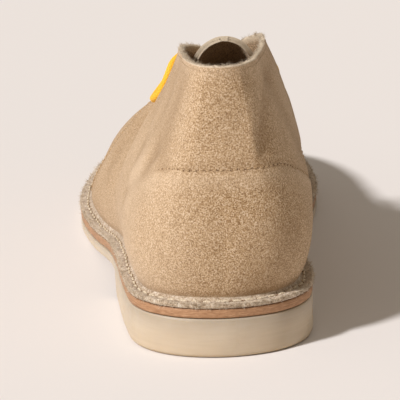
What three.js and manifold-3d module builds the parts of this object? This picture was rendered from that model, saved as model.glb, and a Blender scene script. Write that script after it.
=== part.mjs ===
// Chukka boot for the left foot, with a stitched-down suede upper on a leather midsole and a crepe sole.
// Millimetres, +Z up, toe towards +Y, inner (medial) side towards +X.
// While it is built the back of the heel is at y = 0; the group is then moved so that the origin
// is the middle of the boot's footprint, on the surface it stands on.
import * as THREE from "three";
import { mergeVertices } from "three/addons/utils/BufferGeometryUtils.js";
import Module from "manifold-3d";

// ---------------------------------------------------------------- driving dimensions
const LENGTH = 296; // sole, heel back to toe
const TOE_X = 10; // the toe tip lies a little to the inner side of the heel's axis
const HEEL_HEIGHT = 15.4; // crepe under the heel
const SOLE_THICK = 5; // crepe at the waist, ball and toe
const HEEL_FROM = 60; // the seat starts to slope down here
const BALL_FROM = 170; // and is level again from here
const SPRING_FROM = 215; // the toe lifts from here
const TOE_SPRING = 10;
const BREAST = { foot: 78, top: 85 }; // slanted front of the heel block
const MIDSOLE = 3.8;
const GAP = 0.3; // between pieces that touch
const EDGE = 1.2; // worn bevel around the crepe's lower edge

const WALL = 2.0; // suede with its lining
const FLANGE = 5.0; // the upper's turned-out edge
const FLANGE_THICK = 1.8;
const FILLET = 1.2; // where the flange turns up into the wall

const INSOLE = 2.6;
const INSOLE_CLEAR = 0.8;

const TURN_STEP = 3; // degrees between two sections around the last
const OUTER_STEPS = 9; // sections' segments, feather to top line
const INNER_STEPS = 7;
const NEAR_TURN = 0.5; // neighbours that a normal is taken from: degrees,
const NEAR_PART = 0.01; // and part of a section
const ROW_STEP = 0.02; // the same along the tongue, in its rows
const SEARCH_STEP = 0.25; // degrees, when a place on the facing is looked up
const SAME_PLACE = 1e-4; // corners closer than this are one

// Half breadths of the sole's outline beside the heel's axis, at distances from the heel back.
const OUTLINE = [
  { y: 5, lateral: 20.1, medial: 20.1 },
  { y: 19, lateral: 32.9, medial: 32.9 },
  { y: 42, lateral: 36.6, medial: 36.6 },
  { y: 76, lateral: 38.4, medial: 34.8 },
  { y: 110, lateral: 40.6, medial: 32.5 },
  { y: 148, lateral: 46.4, medial: 42.5 },
  { y: 186, lateral: 50.7, medial: 53.5 },
  { y: 222, lateral: 47.5, medial: 57.0 },
  { y: 256, lateral: 38.0, medial: 52.8 },
  { y: 283, lateral: 21.5, medial: 38.5 },
];

// Top line of the upper: collar, rounded corner, facing edge, then the ridge of the closed vamp.
// turn: 0 at the heel back, 180 at the toe. aim: how the wall leaves the top line,
// -90 backwards, 0 sideways, 90 forwards.
const TOP_LINE = [
  { turn: 0, aim: -90, lateral: [1.5, 9, 109], medial: [1.5, 9, 109] },
  { turn: 18, aim: -55, lateral: [-6, 12.5, 109], medial: [9, 12.5, 109] },
  { turn: 33, aim: -25, lateral: [-10.7, 25, 108.5], medial: [15, 25, 108.5] },
  { turn: 48, aim: -5, lateral: [-11.6, 47, 106.5], medial: [19.5, 48, 107] },
  { turn: 60, aim: 0, lateral: [-11.4, 72, 103.5], medial: [22.8, 73, 105.5] },
  { turn: 69, aim: 0, lateral: [-8.5, 91, 101], medial: [22.8, 92, 104.2] },
  { turn: 75, aim: 0, lateral: [-1.3, 100, 98.2], medial: [16.8, 102, 100] },
  { turn: 81, aim: 0, lateral: [1.4, 114, 91.2], medial: [16.5, 115, 93] },
  { turn: 90, aim: 0, lateral: [2.6, 139, 81.8], medial: [15.5, 139, 83] },
  { turn: 93, aim: 0, lateral: [4.2, 147.4, 79.3], medial: [13.5, 148, 80.5] },
  { turn: 96, aim: 0, lateral: [8, 151, 78.2], medial: [8, 151, 78.2] },
  { turn: 108, aim: 3, lateral: [8, 170, 71.6], medial: [8, 170, 71.6] },
  { turn: 126, aim: 14, lateral: [8.5, 193, 65], medial: [8.5, 193, 65] },
  { turn: 144, aim: 35, lateral: [9, 214, 60], medial: [9, 214, 60] },
  { turn: 162, aim: 62, lateral: [9.5, 231, 56.5], medial: [9.5, 231, 56.5] },
  { turn: 180, aim: 90, lateral: [10, 242, 54], medial: [10, 242, 54] },
];
const FACING_TURN = 66; // the collar has passed into the facing before this
const THROAT_TURN = 96; // bottom of the throat, where the two sides join
const RIDGE_SLOPE = 14; // degrees that the ridge falls towards the toe

// Fullness of each section. rise and flare: how far the wall goes up and out of the feather line;
// shoulder and drop: how far it goes out and down from the top line.
const FULLNESS = [
  { turn: 0, lateral: [28, 8, -1, 30], medial: [28, 8, -1, 30] },
  { turn: 33, lateral: [26, 13, 6, 36], medial: [24, 14, 7, 36] },
  { turn: 48, lateral: [28, 12.5, 8, 36], medial: [28, 14.8, 12, 34] },
  { turn: 60, lateral: [31.2, 9.6, 9.7, 36.2], medial: [34.5, 15.3, 11.5, 31.6] },
  { turn: 75, lateral: [30.1, 8.6, 14.4, 23.5], medial: [33.3, 14.2, 14.8, 20.1] },
  { turn: 90, lateral: [26, 7, 20, 8.6], medial: [26.2, 6.9, 25.5, 6.9] },
  { turn: 96, lateral: [22.5, 5.9, 23.4, 3], medial: [24, 5, 26, 2] },
  { turn: 108, lateral: [16.3, -0.5, 22.5, 0], medial: [22, 3, 26, 0] },
  { turn: 126, lateral: [18.6, -0.8, 23.4, 3.7], medial: [19, 2, 26, 0] },
  { turn: 144, lateral: [15, 4, 25.4, 4.9], medial: [18, 2, 27, 0] },
  { turn: 162, lateral: [17, 2, 28, 0], medial: [17, 2, 28, 0] },
  { turn: 180, lateral: [17, 2, 30, 0], medial: [17, 2, 30, 0] },
];

// Tongue: outer face along its middle, from its root under the vamp to its rounded end.
const TONGUE_THICK = 2.3;
const TONGUE_ARCH = 15; // radius of its curve across
const TONGUE_END = 15; // length of the rounded end
const TONGUE = [
  { at: 0, half: 17, middle: [8, 170, 66.8] },
  { at: 1, half: 16.5, middle: [8, 154, 72.3] },
  { at: 2, half: 16, middle: [8, 138, 78.4] },
  { at: 3, half: 16, middle: [8, 114, 88.5] },
  { at: 4, half: 17, middle: [7.8, 100, 95.2] },
  { at: 5, half: 17.5, middle: [7.5, 85, 105] },
];
const TONGUE_STEPS = 18;
const TONGUE_CROSS = 10;
const TONGUE_CROWD = 1.6; // how much its sections crowd towards the rounded end
const TONGUE_TIP = 2; // least half breadth, at the very end

// Two pairs of punched eyelets, at these distances forward, set back from the facing edge.
const EYELETS = [
  { name: "upper", y: 119 },
  { name: "lower", y: 138 },
];
const EYELET_IN = 8.5; // hole's centre from the facing edge
const EYELET_RADIUS = 2;
const EYELET_SIDES = 12;
const LACE = 3.4; // diameter of the round braid
const LACE_SIDES = 8;
const LACE_STEP = 4.8; // between two of its sections
const LACE_CLEAR = 0.5; // from the suede
const LACE_DIP = 0.6; // how far a bar sags between the facings
const KNOT = { middle: [8, 128.2, 88.9], half: [5.4, 4.4, 3.2], around: 14, along: 9 };

// The bow, as the lace lies: middle line of each loop and each free end, from the knot outwards.
const LACE_ROUTES = {
  lace_loop_lateral: [
    [1.4, 127.2, 89.3], [-5, 124.8, 90.3], [-10.5, 120.9, 87.8], [-13.5, 117.4, 82.7],
    [-16.3, 118.4, 75.9], [-19.2, 124.3, 71.7], [-18.1, 131.9, 71.3], [-14.6, 136.5, 74.6],
    [-9.8, 136.6, 80.6], [-5.2, 132.5, 85.5], [1.6, 130.6, 88.2],
  ],
  lace_loop_medial: [
    [14.6, 127.2, 89.4], [20, 124.3, 91.9], [26, 121.4, 90.2], [30.2, 121.4, 84.1],
    [31.5, 125.4, 79.7], [30.5, 130.3, 78.6], [27.8, 134, 80.4], [22.4, 135.2, 85.8],
    [17.5, 132.9, 88.1], [14.4, 130.6, 88.4],
  ],
  lace_end_lateral: [
    [4.9, 134, 88.5], [3.6, 140.3, 88.2], [1.7, 145.9, 84.9], [-0.8, 151.3, 80.9],
    [-3.4, 157.1, 77.3], [-6.1, 163, 73.8], [-8.5, 168.9, 70.4], [-10.4, 174.6, 67.2],
  ],
  lace_end_medial: [
    [11.3, 134, 88.5], [13, 140.7, 88.8], [15.5, 146.6, 85.6], [19.6, 150.4, 80.5],
    [22.9, 156.1, 76.5], [25.5, 162.2, 72.6], [27.4, 168.6, 68.9],
  ],
};

// ---------------------------------------------------------------- small helpers
const SIDES = { lateral: -1, medial: 1 };
const rad = THREE.MathUtils.degToRad;
const vec = (x, y, z) => new THREE.Vector3(x, y, z);

// Smooth cubic through a table's rows: value at `turn` of the numbers that pick(row) returns.
function along(table, key, at, pick) {
  const last = table.length - 1;
  let i = 0;
  while (i < last - 1 && table[i + 1][key] <= at) i += 1;
  const a = table[i];
  const b = table[i + 1];
  const before = table[Math.max(i - 1, 0)];
  const after = table[Math.min(i + 2, last)];
  const span = b[key] - a[key];
  const t = (at - a[key]) / span;
  const p = [before, a, b, after].map(pick);
  return p[1].map((value, n) => {
    const slopeA = ((p[2][n] - p[0][n]) / (b[key] - before[key])) * span;
    const slopeB = ((p[3][n] - p[1][n]) / (after[key] - a[key])) * span;
    const h00 = 2 * t ** 3 - 3 * t ** 2 + 1;
    const h10 = t ** 3 - 2 * t ** 2 + t;
    const h01 = -2 * t ** 3 + 3 * t ** 2;
    const h11 = t ** 3 - t ** 2;
    return h00 * value + h10 * slopeA + h01 * p[2][n] + h11 * slopeB;
  });
}

// Collects quads and triangles, and closes into one merged geometry.
class Skin {
  constructor() {
    this.corners = [];
  }
  tri(a, b, c) {
    this.corners.push(a, b, c);
  }
  quad(a, b, c, d) {
    this.tri(a, b, c);
    this.tri(a, c, d);
  }
  // A tube of rings, each ring a closed list of points in the same order.
  tube(rings) {
    for (let k = 0; k + 1 < rings.length; k += 1) {
      const near = rings[k];
      const far = rings[k + 1];
      near.forEach((point, n) => {
        const next = (n + 1) % near.length;
        this.quad(point, near[next], far[next], far[n]);
      });
    }
  }
  geometry() {
    const raw = new THREE.BufferGeometry().setFromPoints(this.corners);
    const merged = mergeVertices(raw, SAME_PLACE);
    const index = [];
    const all = merged.getIndex();
    for (let n = 0; n < all.count; n += 3) {
      const [a, b, c] = [all.getX(n), all.getX(n + 1), all.getX(n + 2)];
      if (a !== b && b !== c && c !== a) index.push(a, b, c);
    }
    merged.setIndex(index);
    merged.computeVertexNormals();
    return merged;
  }
}

// ---------------------------------------------------------------- sole
const outlineCurve = new THREE.CatmullRomCurve3(
  [
    vec(0, 0, 0),
    ...OUTLINE.map((row) => vec(-row.lateral, row.y, 0)),
    vec(TOE_X, LENGTH, 0),
    ...OUTLINE.map((row) => vec(row.medial, row.y, 0)).reverse(),
  ],
  true,
  "catmullrom",
  0.5,
);
const OUTLINE_SAMPLES = 1600;
const outlinePoints = outlineCurve.getPoints(OUTLINE_SAMPLES);

// Forward distance of a section around the last.
const stationY = (turn) => (LENGTH * (1 - Math.cos(rad(turn)))) / 2;

// Point of the outline and its outward normal, on one side, at a section.
function outlineAt(side, turn) {
  const half = OUTLINE_SAMPLES / 2;
  const y = stationY(turn);
  const order = (n) => (side === "lateral" ? n : OUTLINE_SAMPLES - n);
  let n = 0;
  while (n < half - 1 && outlinePoints[order(n + 1)].y < y) n += 1;
  const a = outlinePoints[order(n)];
  const b = outlinePoints[order(n + 1)];
  const t = THREE.MathUtils.clamp((y - a.y) / (b.y - a.y), 0, 1);
  const forward = b.clone().sub(a).normalize();
  const normal = vec(forward.y, -forward.x, 0).multiplyScalar(SIDES[side]);
  if (turn === 0) normal.set(0, -1, 0);
  if (turn === 180) normal.set(0, 1, 0);
  return { point: a.clone().lerp(b, t), normal };
}

const smooth = (t) => THREE.MathUtils.smoothstep(t, 0, 1);

// Height of the crepe's upper face and of its lower one.
function crepeTop(y) {
  const seat = THREE.MathUtils.lerp(
    HEEL_HEIGHT,
    SOLE_THICK,
    smooth((y - HEEL_FROM) / (BALL_FROM - HEEL_FROM)),
  );
  const spring = Math.max(0, (y - SPRING_FROM) / (LENGTH - SPRING_FROM));
  return seat + TOE_SPRING * spring ** 2;
}

function crepeBottom(y) {
  const raised = crepeTop(y) - SOLE_THICK;
  if (y <= BREAST.foot) return 0;
  if (y >= BREAST.top) return raised;
  return (raised * (y - BREAST.foot)) / (BREAST.top - BREAST.foot);
}

const turnOf = (y) => THREE.MathUtils.radToDeg(Math.acos(1 - (2 * y) / LENGTH));
const TURNS = [];
for (let turn = 0; turn <= 180; turn += TURN_STEP) TURNS.push(turn);
const SOLE_TURNS = [...TURNS, turnOf(BREAST.foot), turnOf(BREAST.top)].sort((a, b) => a - b);

// A plate with the sole's outline: heights of both faces and how far its edge is set in.
function plate({ top, bottom, inset = 0, bevel = 0 }) {
  const skin = new Skin();
  const edge = (side, turn, inwards, height) => {
    const { point, normal } = outlineAt(side, turn);
    const at = point.clone().addScaledVector(normal, -inwards);
    at.z = height(at.y);
    return at;
  };
  const section = (side, turn) => [
    edge(side, turn, inset + bevel, bottom),
    edge(side, turn, inset, (y) => bottom(y) + bevel),
    edge(side, turn, inset, top),
  ];
  for (let k = 0; k + 1 < SOLE_TURNS.length; k += 1) {
    const [near, far] = [SOLE_TURNS[k], SOLE_TURNS[k + 1]];
    const [ln, lf] = [section("lateral", near), section("lateral", far)];
    const [mn, mf] = [section("medial", near), section("medial", far)];
    skin.quad(ln[0], lf[0], mf[0], mn[0]);
    skin.quad(ln[2], mn[2], mf[2], lf[2]);
    for (let n = bevel ? 0 : 1; n < 2; n += 1) {
      skin.quad(ln[n], ln[n + 1], lf[n + 1], lf[n]);
      skin.quad(mn[n], mf[n], mf[n + 1], mn[n + 1]);
    }
  }
  return skin.geometry();
}

const outsole = plate({ top: (y) => crepeTop(y) - GAP / 2, bottom: crepeBottom, bevel: EDGE });
const midsole = plate({
  top: (y) => crepeTop(y) + MIDSOLE - GAP / 2,
  bottom: (y) => crepeTop(y) + GAP / 2,
});
const FEATHER_IN = FLANGE + WALL;
const insole = plate({
  top: (y) => crepeTop(y) + MIDSOLE + GAP / 2 + INSOLE,
  bottom: (y) => crepeTop(y) + MIDSOLE + GAP / 2,
  inset: FEATHER_IN + INSOLE_CLEAR,
});

// ---------------------------------------------------------------- upper
// Outer line of one section: a cubic from the feather line up to the top line.
function sectionCurve(side, turn) {
  const { point, normal } = outlineAt(side, turn);
  const feather = point.clone().addScaledVector(normal, -FLANGE);
  feather.z = crepeTop(feather.y) + MIDSOLE + GAP / 2 + FLANGE_THICK + FILLET;
  const top = vec(...along(TOP_LINE, "turn", turn, (row) => row[side]));
  const [aim] = along(TOP_LINE, "turn", turn, (row) => [row.aim]);
  const [rise, flare, shoulder, drop] = along(FULLNESS, "turn", turn, (row) => row[side]);
  const slope = turn < THROAT_TURN ? 0 : rad(RIDGE_SLOPE);
  const away = vec(
    SIDES[side] * Math.cos(rad(aim)),
    Math.sin(rad(aim)) * Math.cos(slope),
    -Math.sin(rad(aim)) * Math.sin(slope),
  );
  const up = vec(0, 0, 1);
  return new THREE.CubicBezierCurve3(
    feather,
    feather.clone().addScaledVector(normal, flare).addScaledVector(up, rise),
    top.clone().addScaledVector(away, shoulder).addScaledVector(up, -drop),
    top,
  );
}

const surfaceAt = (side, turn, t) => sectionCurve(side, turn).getPoint(t);

// Outward normal of the outer surface, from neighbouring points.
function surfaceNormal(side, turn, t) {
  const lower = Math.max(turn - NEAR_TURN, 0);
  const upper = Math.min(turn + NEAR_TURN, 180);
  const forward = surfaceAt(side, upper, t).sub(surfaceAt(side, lower, t));
  const upward = surfaceAt(side, turn, Math.min(t + NEAR_PART, 1)).sub(
    surfaceAt(side, turn, Math.max(t - NEAR_PART, 0)),
  );
  const normal = forward.cross(upward).multiplyScalar(SIDES[side]).normalize();
  // Sections that both sides share have no sideways lean.
  const seam = turn === 0 || turn === 180;
  if (seam) normal.x = 0;
  return normal.normalize();
}

function upperSection(side, turn) {
  const { point, normal } = outlineAt(side, turn);
  const rim = (inwards, above) => {
    const at = point.clone().addScaledVector(normal, -inwards);
    at.z = crepeTop(at.y) + MIDSOLE + GAP / 2 + above;
    return at;
  };
  const outer = [];
  for (let n = 0; n <= OUTER_STEPS; n += 1) outer.push(surfaceAt(side, turn, n / OUTER_STEPS));
  const inner = [];
  for (let n = INNER_STEPS; n >= 1; n -= 1) {
    const t = n / INNER_STEPS;
    const at = surfaceAt(side, turn, t);
    inner.push(at.addScaledVector(surfaceNormal(side, turn, t), -WALL));
  }
  return {
    outer: [rim(0, 0), rim(0, FLANGE_THICK), rim(FLANGE - FILLET, FLANGE_THICK), ...outer],
    inner: [...inner, rim(FEATHER_IN, 0)],
  };
}

function makeUpper() {
  const skin = new Skin();
  const sections = {};
  for (const side of Object.keys(SIDES)) {
    sections[side] = TURNS.map((turn) => upperSection(side, turn));
  }
  // One section at the heel back and at the toe, and one top line where the vamp is closed.
  TURNS.forEach((turn, k) => {
    if (turn === 0 || turn === 180) sections.medial[k] = sections.lateral[k];
    const [a, b] = [sections.lateral[k], sections.medial[k]];
    if (turn < THROAT_TURN) return;
    const middle = a.inner[0].clone().lerp(b.inner[0], 0.5);
    a.inner[0] = middle;
    b.inner[0] = middle;
    b.outer[b.outer.length - 1] = a.outer[a.outer.length - 1];
  });
  for (const [side, hand] of Object.entries(SIDES)) {
    const face = (a, b, c, d) => (hand < 0 ? skin.quad(a, b, c, d) : skin.quad(a, d, c, b));
    for (let k = 0; k + 1 < TURNS.length; k += 1) {
      const near = sections[side][k];
      const far = sections[side][k + 1];
      const open = TURNS[k] < THROAT_TURN;
      for (const part of ["outer", "inner"]) {
        for (let n = 0; n + 1 < near[part].length; n += 1) {
          face(near[part][n], near[part][n + 1], far[part][n + 1], far[part][n]);
        }
      }
      const tip = near.outer.length - 1;
      if (open) face(near.outer[tip], near.inner[0], far.inner[0], far.outer[tip]);
      const foot = near.inner.length - 1;
      face(near.inner[foot], near.outer[0], far.outer[0], far.inner[foot]);
    }
  }
  return skin.geometry();
}

// ---------------------------------------------------------------- tongue
function tongueSection(at) {
  const last = TONGUE[TONGUE.length - 1];
  const middle = vec(...along(TONGUE, "at", at, (row) => row.middle));
  const before = vec(...along(TONGUE, "at", Math.max(at - ROW_STEP, 0), (row) => row.middle));
  const after = vec(...along(TONGUE, "at", Math.min(at + ROW_STEP, last.at), (row) => row.middle));
  const forward = after.sub(before).normalize();
  const outward = vec(1, 0, 0).cross(forward).negate().normalize();
  const [half] = along(TONGUE, "at", at, (row) => [row.half]);
  const end = vec(...last.middle).distanceTo(middle);
  const round = end < TONGUE_END ? Math.sqrt(1 - (1 - end / TONGUE_END) ** 2) : 1;
  const reach = Math.max(half * round, TONGUE_TIP);
  const face = (depth) => {
    const points = [];
    for (let n = 0; n <= TONGUE_CROSS; n += 1) {
      const bend = (reach * (2 * n - TONGUE_CROSS)) / TONGUE_CROSS / TONGUE_ARCH;
      const radius = TONGUE_ARCH - depth;
      const place = middle.clone().addScaledVector(outward, radius * Math.cos(bend) - TONGUE_ARCH);
      points.push(place.addScaledVector(vec(1, 0, 0), radius * Math.sin(bend)));
    }
    return points;
  };
  return [...face(TONGUE_THICK), ...face(0).reverse()];
}

function makeTongue() {
  const skin = new Skin();
  const rings = [];
  for (let n = 0; n <= TONGUE_STEPS; n += 1) {
    const t = 1 - (1 - n / TONGUE_STEPS) ** TONGUE_CROWD;
    rings.push(tongueSection(TONGUE[TONGUE.length - 1].at * t));
  }
  skin.tube(rings);
  for (const [ring, turned] of [[rings[0], false], [rings[rings.length - 1], true]]) {
    const count = ring.length;
    for (let n = 0; n < TONGUE_CROSS; n += 1) {
      const strip = [ring[n], ring[count - 1 - n], ring[count - 2 - n], ring[n + 1]];
      if (turned) strip.reverse();
      skin.quad(...strip);
    }
  }
  return skin.geometry();
}

// ---------------------------------------------------------------- eyelets and laces
// The section and the place on it that lie at a forward distance, set back from the edge.
function onFacing(side, y, setBack) {
  let best = null;
  for (let turn = FACING_TURN; turn <= THROAT_TURN; turn += SEARCH_STEP) {
    const curve = sectionCurve(side, turn);
    const t = 1 - setBack / curve.getLength();
    const point = curve.getPointAt(t);
    const miss = Math.abs(point.y - y);
    if (!best || miss < best.miss) best = { miss, turn, point, t: curve.getUtoTmapping(t) };
  }
  return { point: best.point, normal: surfaceNormal(side, best.turn, best.t) };
}

const wasm = await Module();
wasm.setup();

function toSolid(geometry) {
  const bare = geometry.clone();
  bare.deleteAttribute("normal");
  bare.deleteAttribute("uv");
  const merged = mergeVertices(bare, SAME_PLACE);
  return new wasm.Manifold(
    new wasm.Mesh({
      numProp: 3,
      vertProperties: Float32Array.from(merged.getAttribute("position").array),
      triVerts: Uint32Array.from(merged.getIndex().array),
    }),
  );
}

function toGeometry(solid) {
  const mesh = solid.getMesh();
  const geometry = new THREE.BufferGeometry();
  geometry.setAttribute("position", new THREE.BufferAttribute(mesh.vertProperties, 3));
  geometry.setIndex(new THREE.BufferAttribute(mesh.triVerts, 1));
  geometry.computeVertexNormals();
  return geometry;
}

function punchEyelets(geometry) {
  let solid = toSolid(geometry);
  for (const side of Object.keys(SIDES)) {
    for (const { y } of EYELETS) {
      const { point, normal } = onFacing(side, y, EYELET_IN);
      const pin = new THREE.CylinderGeometry(EYELET_RADIUS, EYELET_RADIUS, 4 * WALL, EYELET_SIDES);
      const turn = new THREE.Quaternion().setFromUnitVectors(vec(0, 1, 0), normal);
      pin.applyQuaternion(turn).translate(...point.addScaledVector(normal, -WALL / 2));
      solid = solid.subtract(toSolid(pin));
    }
  }
  return toGeometry(solid);
}

// A round cord along a smooth line through the points.
function cord(points) {
  const path = new THREE.CatmullRomCurve3(points, false, "centripetal");
  const steps = Math.ceil(path.getLength() / LACE_STEP);
  const round = [];
  for (let n = 0; n < LACE_SIDES; n += 1) {
    const angle = (2 * Math.PI * n) / LACE_SIDES;
    round.push(new THREE.Vector2(Math.cos(angle), Math.sin(angle)).multiplyScalar(LACE / 2));
  }
  const section = new THREE.Shape(round);
  return new THREE.ExtrudeGeometry(section, { steps, extrudePath: path });
}

// A bar of the lace from eyelet to eyelet, over both facing edges.
function laceBar(y) {
  const lift = LACE / 2 + LACE_CLEAR;
  const half = (side) =>
    [EYELET_IN, EYELET_IN / 2, 0].map((setBack) => {
      const { point, normal } = onFacing(side, y, setBack);
      return point.addScaledVector(normal, lift);
    });
  const lateral = half("lateral");
  const medial = half("medial").reverse();
  const middle = lateral[2].clone().lerp(medial[0], 0.5);
  middle.z = Math.max(lateral[2].z, medial[0].z) - LACE_DIP;
  return cord([...lateral, middle, ...medial]);
}

function makeKnot() {
  const knot = new THREE.SphereGeometry(1, KNOT.around, KNOT.along);
  return knot.scale(...KNOT.half).translate(...KNOT.middle);
}

// ---------------------------------------------------------------- assembly
const MATERIALS = {
  crepe: { color: "#c9b394", roughness: 0.55 },
  leather: { color: "#b98a62", roughness: 0.6 },
  suede: { color: "#c0a07c", roughness: 0.95 },
  lining: { color: "#8a6f52", roughness: 0.8 },
  lace: { color: "#f2b818", roughness: 0.8 },
};

const boot = new THREE.Group();
boot.name = "chukka_boot";

function add(name, geometry, finish) {
  const material = new THREE.MeshStandardMaterial({ metalness: 0, ...MATERIALS[finish] });
  const mesh = new THREE.Mesh(geometry, material);
  mesh.name = name;
  boot.add(mesh);
}

add("outsole", outsole, "crepe");
add("midsole", midsole, "leather");
add("insole", insole, "lining");
add("upper", punchEyelets(makeUpper()), "suede");
add("tongue", makeTongue(), "suede");
for (const { name, y } of EYELETS) add(`lace_bar_${name}`, laceBar(y), "lace");
add("lace_knot", makeKnot(), "lace");
for (const [name, route] of Object.entries(LACE_ROUTES)) {
  add(name, cord(route.map((point) => vec(...point))), "lace");
}

// The origin is the middle of the footprint, on the ground.
const box = new THREE.Box3().setFromObject(boot);
boot.position.set(-(box.min.x + box.max.x) / 2, -(box.min.y + box.max.y) / 2, -box.min.z);

export default boot;
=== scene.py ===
import math

import bpy
import numpy as np
from mathutils import Matrix, Vector


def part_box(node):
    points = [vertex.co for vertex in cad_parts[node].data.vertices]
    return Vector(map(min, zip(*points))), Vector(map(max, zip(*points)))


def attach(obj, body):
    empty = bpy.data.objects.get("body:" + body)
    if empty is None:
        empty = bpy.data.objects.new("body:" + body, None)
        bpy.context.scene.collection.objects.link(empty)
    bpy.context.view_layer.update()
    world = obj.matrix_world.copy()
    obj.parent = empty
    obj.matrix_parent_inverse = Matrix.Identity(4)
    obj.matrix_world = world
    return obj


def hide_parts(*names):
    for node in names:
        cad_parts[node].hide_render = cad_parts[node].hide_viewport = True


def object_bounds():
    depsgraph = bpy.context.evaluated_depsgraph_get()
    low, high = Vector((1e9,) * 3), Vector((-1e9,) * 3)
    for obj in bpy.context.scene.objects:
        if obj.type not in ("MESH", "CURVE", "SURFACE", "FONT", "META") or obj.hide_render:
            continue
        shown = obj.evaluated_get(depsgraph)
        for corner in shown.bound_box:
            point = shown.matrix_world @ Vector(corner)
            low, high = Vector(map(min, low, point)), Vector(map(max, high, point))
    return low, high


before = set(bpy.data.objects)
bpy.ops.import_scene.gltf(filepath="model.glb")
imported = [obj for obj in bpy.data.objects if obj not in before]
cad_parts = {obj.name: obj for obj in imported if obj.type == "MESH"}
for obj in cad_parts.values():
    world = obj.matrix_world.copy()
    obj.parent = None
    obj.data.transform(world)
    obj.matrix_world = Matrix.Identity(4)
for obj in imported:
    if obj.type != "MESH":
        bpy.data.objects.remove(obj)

CAD_LOW, CAD_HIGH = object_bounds()
SEED = 7

# ---------------------------------------------------------------- the boot's sizes, as in the CAD
LENGTH = 296.0
TOE_X = 10.0
HEEL_HEIGHT, SOLE_THICK = 15.4, 5.0
HEEL_FROM, BALL_FROM, SPRING_FROM = 60.0, 170.0, 215.0
TOE_SPRING = 10.0
BREAST_FOOT, BREAST_TOP = 78.0, 85.0
MIDSOLE = 3.8
GAP = 0.3
WALL = 2.0
FLANGE, FLANGE_THICK, FILLET = 5.0, 1.8, 1.2
INSOLE, INSOLE_CLEAR = 2.6, 0.8
THROAT_TURN = 96.0
RIDGE_SLOPE = 14.0

# Half breadths of the outline beside the heel's axis: y, lateral, medial.
OUTLINE = [
    (5, 20.1, 20.1), (19, 32.9, 32.9), (42, 36.6, 36.6), (76, 38.4, 34.8), (110, 40.6, 32.5),
    (148, 46.4, 42.5), (186, 50.7, 53.5), (222, 47.5, 57.0), (256, 38.0, 52.8), (283, 21.5, 38.5),
]
OUTLINE_STEPS = 120  # between two of its points
# Top line of the upper: turn, aim, lateral point, medial point.
TOP_LINE = np.array([
    (0, -90, 1.5, 9, 109, 1.5, 9, 109), (18, -55, -6, 12.5, 109, 9, 12.5, 109),
    (33, -25, -10.7, 25, 108.5, 15, 25, 108.5), (48, -5, -11.6, 47, 106.5, 19.5, 48, 107),
    (60, 0, -11.4, 72, 103.5, 22.8, 73, 105.5), (69, 0, -8.5, 91, 101, 22.8, 92, 104.2),
    (75, 0, -1.3, 100, 98.2, 16.8, 102, 100), (81, 0, 1.4, 114, 91.2, 16.5, 115, 93),
    (90, 0, 2.6, 139, 81.8, 15.5, 139, 83), (93, 0, 4.2, 147.4, 79.3, 13.5, 148, 80.5),
    (96, 0, 8, 151, 78.2, 8, 151, 78.2), (108, 3, 8, 170, 71.6, 8, 170, 71.6),
    (126, 14, 8.5, 193, 65, 8.5, 193, 65), (144, 35, 9, 214, 60, 9, 214, 60),
    (162, 62, 9.5, 231, 56.5, 9.5, 231, 56.5), (180, 90, 10, 242, 54, 10, 242, 54),
], float)
# Fullness of each section: turn, then rise, flare, shoulder and drop, lateral and medial.
FULLNESS = np.array([
    (0, 28, 8, -1, 30, 28, 8, -1, 30), (33, 26, 13, 6, 36, 24, 14, 7, 36),
    (48, 28, 12.5, 8, 36, 28, 14.8, 12, 34), (60, 31.2, 9.6, 9.7, 36.2, 34.5, 15.3, 11.5, 31.6),
    (75, 30.1, 8.6, 14.4, 23.5, 33.3, 14.2, 14.8, 20.1), (90, 26, 7, 20, 8.6, 26.2, 6.9, 25.5, 6.9),
    (96, 22.5, 5.9, 23.4, 3, 24, 5, 26, 2), (108, 16.3, -0.5, 22.5, 0, 22, 3, 26, 0),
    (126, 18.6, -0.8, 23.4, 3.7, 19, 2, 26, 0), (144, 15, 4, 25.4, 4.9, 18, 2, 27, 0),
    (162, 17, 2, 28, 0, 17, 2, 28, 0), (180, 17, 2, 30, 0, 17, 2, 30, 0),
], float)
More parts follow.
